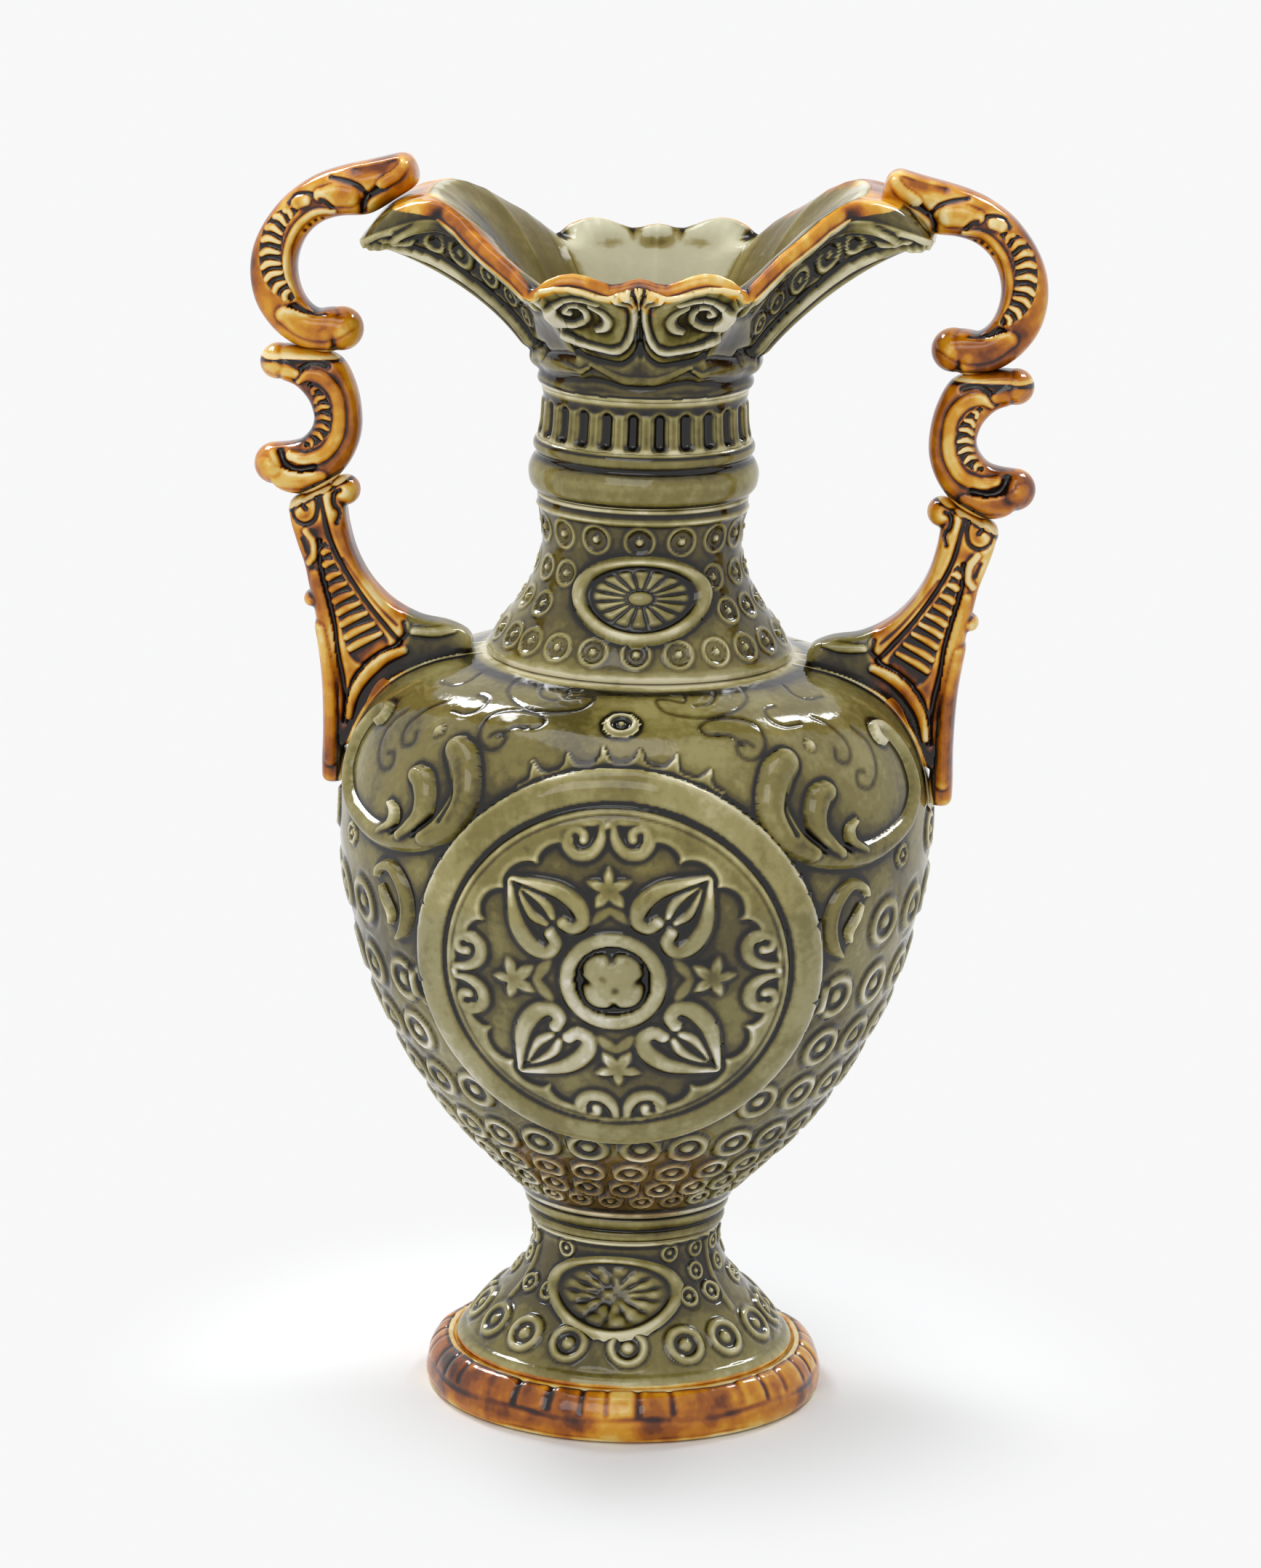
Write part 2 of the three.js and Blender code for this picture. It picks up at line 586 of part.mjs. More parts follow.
function plate(outline, thickness, points) {
  const curve = new THREE.CatmullRomCurve3(outline.map(([x, z]) => new THREE.Vector3(x, z, 0)), true, 'centripetal');
  const shape = new THREE.Shape(curve.getPoints(points).slice(0, -1).map((p) => new THREE.Vector2(p.x, p.y)));
  const g = new THREE.ExtrudeGeometry(shape, {
    depth: thickness - 2 * HANDLE_BEVEL,
    bevelEnabled: true,
    bevelThickness: HANDLE_BEVEL,
    bevelSize: HANDLE_BEVEL,
    bevelOffset: -HANDLE_BEVEL,
    bevelSegments: 1,
    curveSegments: 1,
  });
  g.translate(0, 0, HANDLE_BEVEL - thickness / 2).rotateX(Math.PI / 2);
  return solidOf(g);
}

// A block whose face passes through [x, z], lying on the side that [nx, nz] points to
function block(x, z, nx, nz, size) {
  const box = new THREE.BoxGeometry(size, size, size);
  box.translate(size / 2, 0, 0).rotateY(-Math.atan2(nz, nx)).translate(x, 0, z);
  return solidOf(box);
}

// Cells sunk on both faces between the ribs of a panel; path of [x, z, half width]
function sinkPanel(solid, path, count, thickness) {
  const curve = new THREE.CatmullRomCurve3(path.map(([x, z, w]) => new THREE.Vector3(x, z, w)));
  let result = solid;
  for (let i = 0; i < count; i++) {
    const [a, b] = [curve.getPoint((i + 0.14) / count), curve.getPoint((i + 0.86) / count)];
    const along = new THREE.Vector2(b.x - a.x, b.y - a.y).normalize();
    const corners = [[a, 1], [b, 1], [b, -1], [a, -1]].map(([p, side]) =>
      [p.x - along.y * p.z * side, p.y + along.x * p.z * side]);
    for (const face of [1, -1]) {
      const near = face * (thickness / 2 - PANEL_DEPTH);
      const far = face * (thickness / 2 + 1);
      const rows = [near, far].map((y) => corners.map(([x, z]) => new THREE.Vector3(x, y, z)));
      result = result.subtract(solidOf(loft(rows, false)));
    }
  }
  return result;
}

// Outlines are measured outwards from the beak and down from the handle's top
const fromTop = (points) => points.map(([out, down, halfWidth = 0]) =>
  [BEAK_X + out * DRAWN, handleZ - down * DRAWN, halfWidth * DRAWN]);

const HANDLE_SPAN = 400;      // longer than any cut through a handle
const topJoint = handleZ - TOP_JOINT_DROP;
const [lowJointX, lowJointZ] = [BEAK_X + LOW_JOINT_OUT, handleZ - LOW_JOINT_DROP];
const lowJointTilt = THREE.MathUtils.degToRad(LOW_JOINT_TILT);
const [tiltX, tiltZ] = [Math.sin(lowJointTilt), Math.cos(lowJointTilt)];

function upperScroll() {
  const outline = fromTop([[-12.5, 0], [-5, 5.5], [5, 7], [16, 11], [25, 18.5], [31.5, 28], [33.5, 37], [31, 48],
    [24.5, 57], [17, 62.5], [9, 62.8], [2.5, 58.5], [1, 53], [4.5, 49.2], [12, 48], [18, 43], [19.5, 36], [16, 26],
    [8, 21], [-1, 21.5], [-9, 15], [-16, 9], [-15.5, 3]]);
  let solid = plate(outline, SCROLL_T, 34);
  solid = solid.subtract(block(0, topJoint + SEAT / 2, 0, -1, HANDLE_SPAN));
  const slope = Math.atan2(BEAK_X - SPOUT_X, BEAK_DROP - LIP_THICKNESS / 4);
  const [nx, nz] = [-Math.cos(slope), -Math.sin(slope)];
  const [x, z] = [(SPOUT_X + BEAK_X) / 2 - nx * SEAT * 3, spoutZ - BEAK_DROP / 2 - nz * SEAT * 3];
  solid = solid.subtract(block(x, z, nx, nz, BEAK_DROP * 2));
  const panel = fromTop([[16, 18, 2.6], [23, 25, 3.4], [26.4, 36, 3.6], [23.6, 47, 3.2]]);
  return geometryOf(sinkPanel(solid, panel, 6, SCROLL_T));
}

function middleScroll() {
  const outline = fromTop([[7, 61], [22, 61], [27.5, 64], [27.5, 69.5], [22.5, 71.5], [17, 73.5], [14.3, 80],
    [16.5, 87.5], [22, 90.5], [27, 91], [30.5, 95.5], [29, 101.5], [23, 106], [13, 105], [6.5, 99.5], [2, 95],
    [-0.5, 85], [0, 76], [3.5, 67]]);
  let solid = plate(outline, CURL_T, 30);
  solid = solid.subtract(block(0, topJoint - SEAT / 2, 0, 1, HANDLE_SPAN));
  const [x, z] = [lowJointX + tiltX * SEAT / 2, lowJointZ + tiltZ * SEAT / 2];
  solid = solid.subtract(block(x, z, -tiltX, -tiltZ, HANDLE_SPAN));
  const panel = fromTop([[14.5, 69.5, 2.2], [8.8, 74, 2.8], [7, 80.5, 3], [8.8, 88, 2.8], [14.5, 94.5, 2.2]]);
  return geometryOf(sinkPanel(solid, panel, 5, CURL_T));
}

// Bracket: from the middle scroll down to a long seat on the shoulder
function lowerBracket() {
  const upper = fromTop([[1, 99], [6.5, 98], [21.5, 106.5], [19, 115], [16, 123], [14.5, 133]]);
  const tail = [[8.2, 54.8], [5.7, 39.8], [5.3, 21.8], [5.3, 7.8], [2.2, 3.8], [-9.3, 9.8], [-19.3, 34.8],
    [-37.3, 47.8]].map(([out, up]) => [BODY_BELLY_R + out * DRAWN, bellyZ + up * DRAWN]);
  const arch = [[0.5, 1], [3, 5.9], [16, 6.3], [24, 8.2], [31, 12.4], [37, 19]]
    .map(([out, up]) => [BODY_MOUTH_R + out * DRAWN, neckZ + up * DRAWN]);
  const outline = [...upper, ...tail, ...arch, ...fromTop([[2, 122.5], [4.5, 112], [-1, 106]])];
  let solid = plate(outline, BRACKET_T, 36);
  const [x, z] = [lowJointX - tiltX * SEAT / 2, lowJointZ - tiltZ * SEAT / 2];
  solid = solid.subtract(block(x, z, tiltX, tiltZ, HANDLE_SPAN));
  const floor = bodyZ + BODY_BELLY_H / 2;
  const seat = [[0, floor]];
  for (const height of [floor, (floor + bellyZ) / 2, bellyZ]) seat.push([bodyRadius(height) + SEAT, height]);
  for (const share of SHOULDER_SHARES) {
    const height = bellyZ + (shoulderZ - bellyZ) * share;
    seat.push([bodyRadius(height) + SEAT, height + SEAT * share]);
  }
  seat.push([0, shoulderZ + SEAT]);
  solid = solid.subtract(solidOf(revolve(seat)));
  const reach = BODY_MOUTH_R + SEAT;
  const flange = [[0, neckZ - 1], [reach, neckZ - 1], [reach, neckZ + NECK_H / 2], [0, neckZ + NECK_H / 2]];
  solid = solid.subtract(solidOf(revolve(flange)));
  const panel = fromTop([[9.5, 117, 1.6], [8.5, 126, 3], [5.5, 137, 6], [4, 148, 5], [6, 160, 2]]);
  return geometryOf(sinkPanel(solid, panel, 7, BRACKET_T));
}

// The vase, from the ground up

add('foot_ring', footRing(), AMBER);
add('pedestal', pedestal(), SEAL_GREEN);
add('stem_collar', stemCollar(), SEAL_GREEN);
add('body', body(), SEAL_GREEN);
add('neck', neck(), SEAL_GREEN);
add('neck_ring', neckRing(), SEAL_GREEN);
add('fluted_collar', flutedCollar(), SEAL_GREEN);
add('mouth', mouth(), PALE_GREEN);

const members = [['upper_scroll', upperScroll()], ['middle_scroll', middleScroll()], ['lower_bracket', lowerBracket()]];
for (const [name, geometry] of members) {
  add(`handle_right_${name}`, geometry, AMBER);
  add(`handle_left_${name}`, mirrored(geometry), AMBER);
}

const disc = medallion();
const neckOval = cartouche(seenFromFront(neckRadius), neckZ + 22.6, NECK_OVAL_W, NECK_OVAL_H, 2.6);
const footOval = cartouche(seenFromFront(pedestalRadius), pedestalZ + 24, FOOT_OVAL_W, FOOT_OVAL_H, 1.8);
const boss = shoulderBoss();
const [scrollRight, scrollLeft] = lipScroll();
for (const [side, turn] of [['front', 0], ['back', Math.PI]]) {
  add(`medallion_${side}`, disc, SEAL_GREEN, turn);
  add(`neck_cartouche_${side}`, neckOval, SEAL_GREEN, turn);
  add(`foot_cartouche_${side}`, footOval, SEAL_GREEN, turn);
  add(`shoulder_boss_${side}`, boss, SEAL_GREEN, turn);
  add(`lip_scroll_${side}_right`, scrollRight, SEAL_GREEN, turn);
  add(`lip_scroll_${side}_left`, scrollLeft, SEAL_GREEN, turn);
}

// A leaf on one side of the front is the same casting as on the other side of the back
const leaves = [['shoulder_leaf', shoulderLeaf()], ['flank_leaf', flankLeaf()]];
for (const [name, leaf] of leaves) {
  add(`${name}_front_right`, leaf, SEAL_GREEN);
  add(`${name}_front_left`, mirrored(leaf), SEAL_GREEN);
  add(`${name}_back_left`, leaf, SEAL_GREEN, Math.PI);
  add(`${name}_back_right`, mirrored(leaf), SEAL_GREEN, Math.PI);
}

export default vase;
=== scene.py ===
# %% [markdown]
# # A glazed earthenware vase with scroll handles
# The real vase is slip-cast earthenware. A plaster mould gives it ring-and-dot ornament, a round
# medallion on each face and scrolls on the mouth, and a coloured glaze then runs off the ridges and
# pools in the hollows. So the work has two halves: every raised line is real geometry, and every
# finish asks that geometry how high each spot stands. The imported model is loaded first, because each
# piece made here stands in for one of its nodes.

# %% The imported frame
import math

import bmesh
import bpy
import numpy as np
from mathutils import Matrix, Vector


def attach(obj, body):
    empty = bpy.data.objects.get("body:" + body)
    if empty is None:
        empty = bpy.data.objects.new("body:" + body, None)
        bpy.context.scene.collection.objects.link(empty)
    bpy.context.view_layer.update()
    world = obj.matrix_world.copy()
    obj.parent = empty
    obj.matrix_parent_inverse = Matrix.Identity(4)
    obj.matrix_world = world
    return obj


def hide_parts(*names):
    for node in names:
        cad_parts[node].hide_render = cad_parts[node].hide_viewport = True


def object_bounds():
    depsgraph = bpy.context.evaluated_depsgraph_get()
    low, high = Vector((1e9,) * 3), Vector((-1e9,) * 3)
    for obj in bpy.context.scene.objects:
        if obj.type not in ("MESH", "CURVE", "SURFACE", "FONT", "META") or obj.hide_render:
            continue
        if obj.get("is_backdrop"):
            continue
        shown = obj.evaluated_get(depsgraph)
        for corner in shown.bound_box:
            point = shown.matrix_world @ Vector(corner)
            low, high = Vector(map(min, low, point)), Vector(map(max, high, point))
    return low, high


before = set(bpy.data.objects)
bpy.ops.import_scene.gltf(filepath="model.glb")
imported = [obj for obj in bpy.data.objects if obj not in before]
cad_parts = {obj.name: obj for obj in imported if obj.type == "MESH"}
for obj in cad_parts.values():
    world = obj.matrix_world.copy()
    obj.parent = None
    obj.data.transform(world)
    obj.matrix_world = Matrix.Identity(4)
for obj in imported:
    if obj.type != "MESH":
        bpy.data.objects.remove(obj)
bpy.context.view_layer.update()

MM = 0.001

# %% [markdown]
# ## The camera
# The photograph looks slightly down on the vase from nearly two metres away. Rings and rims that are
# round on the vase are ellipses in the picture, and their flatness gives the height of the camera. A
# long lens keeps the upright lines upright. The camera is aimed with three axes, because a
# tracking constraint would hide the small roll that the picture has.

# %% Camera from the measured viewpoint
CAMERA_DISTANCE = 1.835
CAMERA_HEIGHT = 0.6486
FOCAL_PIXELS = 8612
PHOTO_HEIGHT = 2156
OFF_CENTRE_PIXELS = -8.1
SENSOR_MM = 36
yaw, pitch, roll = math.radians(4), math.radians(14.05), math.radians(1.32)

ahead = Vector((-math.sin(yaw) * math.cos(pitch), math.cos(yaw) * math.cos(pitch), -math.sin(pitch)))
right = Vector((math.cos(yaw), math.sin(yaw), 0))
upward = right.cross(ahead)
swing = math.atan(OFF_CENTRE_PIXELS / FOCAL_PIXELS)
ahead = math.cos(swing) * ahead + math.sin(swing) * right
right = ahead.cross(upward)
level_right, level_up = right, upward
right = math.cos(roll) * level_right + math.sin(roll) * level_up
upward = math.cos(roll) * level_up - math.sin(roll) * level_right

lens = bpy.data.cameras.new("camera")
lens.sensor_fit = "AUTO"
lens.sensor_width = SENSOR_MM
lens.lens = SENSOR_MM * FOCAL_PIXELS / PHOTO_HEIGHT
lens.clip_end = 20
camera = bpy.data.objects.new("camera", lens)
bpy.context.scene.collection.objects.link(camera)
axes = Matrix((right, upward, -ahead)).transposed().to_4x4()
stand = Vector((CAMERA_DISTANCE * math.sin(yaw), -CAMERA_DISTANCE * math.cos(yaw), CAMERA_HEIGHT))
camera.matrix_world = Matrix.Translation(stand) @ axes
bpy.context.scene.camera = camera
print("lens", round(lens.lens, 1), "mm")

# %% [markdown]
# ## Lines and swellings
# A mould-maker draws with two marks: a bead that stands up and a scratch that goes in. Both follow a
# smooth line through a few points. These helpers draw such a line, find how far every vertex is from
# it, and turn that distance into a height. Heights are kept as plain numbers in millimetres until a
# piece is finished, so several marks can overlap without their faces cutting through each other.

# %% A smooth line through a few points
def smooth(t):
    t = np.clip(t, 0, 1)
    return t * t * (3 - 2 * t)


def flow(points, step):
    """A smooth line through points, with a point every `step` millimetres. Extra columns ride along."""
    p = np.array(points, float)
    ends = np.vstack([2 * p[0] - p[1], p, 2 * p[-1] - p[-2]])
    t = np.linspace(0, 1, 16, endpoint=False)[:, None]
    parts = []
    for a, b, c, d in zip(ends, ends[1:], ends[2:], ends[3:]):
        parts.append(0.5 * (2 * b + (c - a) * t + (2 * a - 5 * b + 4 * c - d) * t**2
                            + (3 * b - a - 3 * c + d) * t**3))
    line = np.vstack(parts + [p[-1:]])
    run = np.concatenate([[0], np.cumsum(np.linalg.norm(np.diff(line[:, :2], axis=0), axis=1))])
    at = np.linspace(0, run[-1], max(2, round(run[-1] / step) + 1))
    return np.column_stack([np.interp(at, run, line[:, k]) for k in range(p.shape[1])])


def nearest(u, v, line):
    """Distance from each point to the line, and the line's width at the nearest spot."""
    best, width = np.full(u.shape, 1e9), np.zeros(u.shape)
    for a, b in zip(line, line[1:]):
        d = b[:2] - a[:2]
        t = np.clip(((u - a[0]) * d[0] + (v - a[1]) * d[1]) / max(d @ d, 1e-9), 0, 1)
        gap = np.hypot(u - a[0] - t * d[0], v - a[1] - t * d[1])
        closer = gap < best
        best = np.where(closer, gap, best)
        width = np.where(closer, a[2] + (b[2] - a[2]) * t, width)
    return best, width


# %% Marks: bead, scratch, ring and dot
def close_to(u, v, line, margin):
    """Which points lie in the box round a line, with a margin."""
    low, high = line[:, :2].min(0) - margin, line[:, :2].max(0) + margin
    return (u > low[0]) & (u < high[0]) & (v > low[1]) & (v < high[1])


def bead(height, u, v, path, rise, base=0.0):
    """Raises a rounded bead along a path of [u, v, half width]."""
    line = flow(path, 1.0)
    near = close_to(u, v, line, line[:, 2].max() + 0.5)
    gap, width = nearest(u[near], v[near], line)
    crown = base + rise * np.clip(1 - (gap / np.maximum(width, 0.1)) ** 2.4, 0, 1)
    height[near] = np.where(gap < width, np.maximum(height[near], crown), height[near])


def scratch(height, u, v, path, depth, width=0.8):
    """Cuts a soft line along a path of [u, v]."""
    line = flow([[*p[:2], width] for p in path], 1.2)
    near = close_to(u, v, line, 3)
    gap, _ = nearest(u[near], v[near], line)
    height[near] -= depth * bell(gap, width)


def draw(height, u, v, marks, base=0.0, spots=list):
    """Draws marks in turn. A bead is (rise, path) and a scratch (depth, width, path)."""
    for *numbers, path in marks:
        if len(numbers) == 1:
            bead(height, u, v, spots(path), numbers[0], base)
        else:
            scratch(height, u, v, spots(path), *numbers)


def bell(gap, width):
    """1 at a gap of 0, falling softly to nothing beyond the width."""
    return np.exp(-((gap / width) ** 2))


def dome(gap, width):
    """1 at a gap of 0, round as a bead, and 0 from the width on."""
    return np.clip(1 - (gap / width) ** 2, 0, 1)


def ring_and_dot(gap, radius, rise):
    """The mould's commonest mark: a round dot inside a ring."""
    q = gap / radius
    ring = bell(q - 0.75, 0.19) - 0.45 * bell(q - 1.14, 0.12)
    return rise * (ring + np.exp(-((q / 0.27) ** 3)) - 0.35 * bell(q - 0.46, 0.13))


def cup_and_dot(gap, radius, rise):
    """The same mark, worn: a sunk disc with a low edge and a dot in it."""
    q = gap / radius
    cup = 0.55 * bell(q - 1.0, 0.16) - 0.75 * np.exp(-((q / 0.85) ** 6))
    return rise * (cup + 1.7 * np.exp(-((q / 0.33) ** 4)))


# %% [markdown]
# ## From heights to pieces
# Round castings are an outline that `spin` turns about the axis. Shapes that aren't round start as a
# flat grid whose vertices are then put in place, as a thrower bends a slab. Either way the relief is
# pushed out along each vertex's own normal, so a ring keeps its shape where the wall curves.

# %% Making, reading and moving a piece
def piece_from(name, bm):
    mesh = bpy.data.meshes.new(name)
    bm.to_mesh(mesh)
    bm.free()
    mesh.shade_smooth()
    piece = bpy.data.objects.new(name, mesh)
    bpy.context.scene.collection.objects.link(piece)
    return piece


def points_of(piece):
    flat = np.empty(len(piece.data.vertices) * 3, np.float32)
    piece.data.vertices.foreach_get("co", flat)
    return flat.reshape(-1, 3).astype(float) / MM


def normals_of(piece):
    flat = np.empty(len(piece.data.vertices) * 3, np.float32)
    piece.data.vertex_normals.foreach_get("vector", flat)
    return flat.reshape(-1, 3).astype(float)


def place_points(piece, points):
    piece.data.vertices.foreach_set("co", (points * MM).astype(np.float32).ravel())
    piece.data.update()


def push(piece, height):
    """Moves each vertex outwards along its normal by its height."""
    place_points(piece, points_of(piece) + normals_of(piece) * height[:, None])


def from_axis(points):
    """Millimetres from the vase's axis."""
    return np.hypot(points[:, 0], points[:, 1])


def azimuth_of(points):
    """Degrees round from the front, positive towards +X."""
    return np.degrees(np.arctan2(points[:, 0], -points[:, 1]))


def nearer_face(azimuth):
    """Degrees from the middle of the nearer face, for degrees round from the front."""
    return np.where(np.abs(azimuth) <= 90, azimuth, (azimuth + 360) % 360 - 180)


def wall(line):
    """Functions of height for an outline of [r, z]: its radius, and the distance along it."""
    run = np.concatenate([[0], np.cumsum(np.linalg.norm(np.diff(line, axis=0), axis=1))])
    return (lambda z: np.interp(z, line[:, 1], line[:, 0])), (lambda z: np.interp(z, line[:, 1], run))


def on_wall(azimuth, r, z):
    """Points from degrees, radius and height."""
    a = np.radians(azimuth)
    return np.column_stack([r * np.sin(a), -r * np.cos(a), z])


def turned(name, outline, columns, start=0.0, sweep=360.0, on_axis=False):
    """Turns an outline of [r, z] about the axis. An outline that ends on the axis stays open there."""
    bm = bmesh.new()
    profile = np.array(outline)
    verts = [bm.verts.new(spot) for spot in on_wall(start, profile[:, 0], profile[:, 1]) * MM]
    pairs = list(zip(verts, verts[1:]))
    if not on_axis:
        pairs.append((verts[-1], verts[0]))
    edges = [bm.edges.new(pair) for pair in pairs]
    bmesh.ops.spin(bm, geom=verts + edges, cent=(0, 0, 0), axis=(0, 0, 1), dvec=(0, 0, 0),
                   angle=math.radians(sweep), steps=columns, use_merge=sweep == 360.0)
    bmesh.ops.remove_doubles(bm, verts=bm.verts, dist=1e-6)
    if sweep < 360:
        bmesh.ops.edgeloop_fill(bm, edges=[e for e in bm.edges if e.is_boundary])
    bmesh.ops.recalc_face_normals(bm, faces=bm.faces)
    return piece_from(name, bm)


def place_grid(bm, across, along, place):
    """Adds a grid whose vertices go where place(u, v) says, in millimetres, for u and v from 0 to 1."""
    bmesh.ops.create_grid(bm, x_segments=across, y_segments=along, size=0.5)
    flat = np.array([v.co[:2] for v in bm.verts]) + 0.5
    for vert, spot in zip(bm.verts, place(flat[:, 0], flat[:, 1]) * MM):
        vert.co = spot


def shaped_grid(across, along, place):
    """A placed grid in a bmesh of its own, with the edges that meet merged."""
    bm = bmesh.new()
    place_grid(bm, across, along, place)
    bmesh.ops.remove_doubles(bm, verts=bm.verts, dist=2e-6)
    bmesh.ops.recalc_face_normals(bm, faces=bm.faces)
    return bm


# %% Applied reliefs
RELIEF_DEPTH, SMOOTHING_ROUNDS = 1.3, 2


def rounded_place(vert):
    return tuple(round(c, 7) for c in vert.co)


def applied(node, face, surface, u_range, v_range, step, height, sink=0.6):
    """A relief on a surface. Where its height is below the surface it is trimmed off, out of sight."""
    spans = (u_range[1] - u_range[0], v_range[1] - v_range[0])
    found = {}

    def place(u, v):
        u, v = u_range[0] + u * spans[0], v_range[0] + v * spans[1]
        found["rise"] = np.maximum(height(u, v), -sink)
        here = surface(u, v)
        normal = np.cross(surface(u + 0.02, v) - here, surface(u, v + 0.02) - here)
        found["normal"] = normal / np.linalg.norm(normal, axis=1)[:, None]
        return here + found["normal"] * found["rise"][:, None]

    bm = bmesh.new()
    place_grid(bm, round(spans[0] / step[0]), round(spans[1] / step[1]), place)
    hidden = found["rise"] < -sink * 0.9
    bm.verts.index_update()
    spare = [f for f in bm.faces if all(hidden[vert.index] for vert in f.verts)]
    bmesh.ops.delete(bm, geom=spare, context="FACES")
    inner_verts = [vert for vert in bm.verts if not vert.is_boundary]
    for _ in range(SMOOTHING_ROUNDS):
        bmesh.ops.smooth_vert(bm, verts=inner_verts, factor=0.5, use_axis_x=True, use_axis_y=True,
                              use_axis_z=True)
    inward = {rounded_place(vert): Vector(found["normal"][vert.index]) for vert in bm.verts}
    grown = bmesh.ops.extrude_face_region(bm, geom=list(bm.faces))["geom"]
    for vert in grown:
        if isinstance(vert, bmesh.types.BMVert):
            vert.co = vert.co - inward[rounded_place(vert)] * RELIEF_DEPTH * MM
    bmesh.ops.recalc_face_normals(bm, faces=bm.faces)
    piece = piece_from(f"{node}_relief", bm)
    if face == "back":
        piece.data.transform(Matrix.Rotation(math.pi, 4, "Z"))
    return piece


# %% [markdown]
# ## How the glaze knows where to pool
# A glaze is thick in a hollow and thin on an edge. If a copy of a piece's surface is smoothed, its
# edges sink and its hollows rise, so the distance between the real and the smoothed surface says which
# is which. It is stored on every vertex, once for fine lines and once for broad swellings, and the
# materials read it. It belongs to the mesh, so it stays right from every side.

# %% Ridge and hollow, stored on the vertices
def soften(points, edges, steps):
    a, b = edges[:, 0], edges[:, 1]
    count = np.maximum(np.bincount(edges.ravel(), minlength=len(points)), 1)[:, None]
    for _ in range(steps):
        columns = [np.bincount(a, points[b, k], len(points)) + np.bincount(b, points[a, k], len(points))
                   for k in range(3)]
        total = np.column_stack(columns)
        points = 0.4 * points + 0.6 * total / count
    return points


def store(piece, name, values):
    layer = piece.data.attributes.get(name) or piece.data.attributes.new(name, "FLOAT", "POINT")
    layer.data.foreach_set("value", np.asarray(values, np.float32))


def read_relief(piece, overlaid=None, fine=0.8, broad=3.0):
    """Stores how far each vertex stands out. `overlaid` is the height of whatever lies on it."""
    edges = np.empty(len(piece.data.edges) * 2, np.int32)
    piece.data.edges.foreach_get("vertices", edges)
    edges = edges.reshape(-1, 2)
    points, normal = points_of(piece), normals_of(piece)
    if overlaid is not None:
        points = points + normal * overlaid[:, None]
    length = np.median(np.linalg.norm(points[edges[:, 0]] - points[edges[:, 1]], axis=1))
    for name, reach in (("ridge", fine), ("swell", broad)):
        steps = int(np.clip(3.3 * (reach / length) ** 2, 3, 130))
        flat = soften(points, edges, steps)
        stands = ((points - flat) * normal).sum(1) / (0.22 * reach)
        store(piece, name, np.clip(stands - np.median(stands), -1.5, 1.5))


# %% [markdown]
# ## Glazes
# Lead glaze over pale earthenware is glassy and a little uneven. The green glaze is nearly black in the
# lines and pale on the beads. The amber one goes from black-brown through orange to bare cream. One
# recipe serves both: stored relief plus soft noise picks a colour from a ramp, and a sharp clear
# surface lies on top. Faint unevenness goes in as a bump, since it is far finer than the mesh.

# %% Colours and the ramp
def srgb(*channels):
    """A colour as seen on screen, turned into the linear values that shaders use."""
    shares = [c / 255 for c in channels]
    return tuple(c / 12.92 if c <= 0.04045 else ((c + 0.055) / 1.055) ** 2.4 for c in shares) + (1,)


GREEN = [(0.0, 10, 8, 4), (0.2, 42, 34, 14), (0.38, 86, 76, 33), (0.52, 124, 113, 57), (0.68, 154, 144, 90),
         (0.85, 188, 178, 132), (1.0, 222, 214, 180)]
MOUTH_GREEN = [(0.0, 34, 28, 12), (0.22, 104, 90, 42), (0.38, 140, 127, 76), (0.52, 184, 179, 150),
               (0.76, 200, 196, 168), (1.0, 214, 211, 188)]
AMBER = [(0.0, 22, 9, 5), (0.14, 60, 24, 5), (0.28, 112, 52, 4), (0.42, 160, 86, 4), (0.55, 194, 118, 6),
         (0.68, 214, 150, 30), (0.82, 228, 188, 92), (1.0, 240, 218, 160)]
BROWN = [(0.0, 16, 13, 9), (0.25, 58, 40, 16), (0.45, 96, 72, 30), (0.6, 122, 98, 52), (0.76, 160, 138, 92),
         (1.0, 224, 212, 178)]


def ramp_node(nodes, stops):
    ramp = nodes.new("ShaderNodeValToRGB")
    ramp.color_ramp.interpolation = "EASE"
    while len(ramp.color_ramp.elements) < len(stops):
        ramp.color_ramp.elements.new(0.5)
    for element, (at, *colour) in zip(ramp.color_ramp.elements, stops):
        element.position = at
        element.color = srgb(*colour)
    return ramp


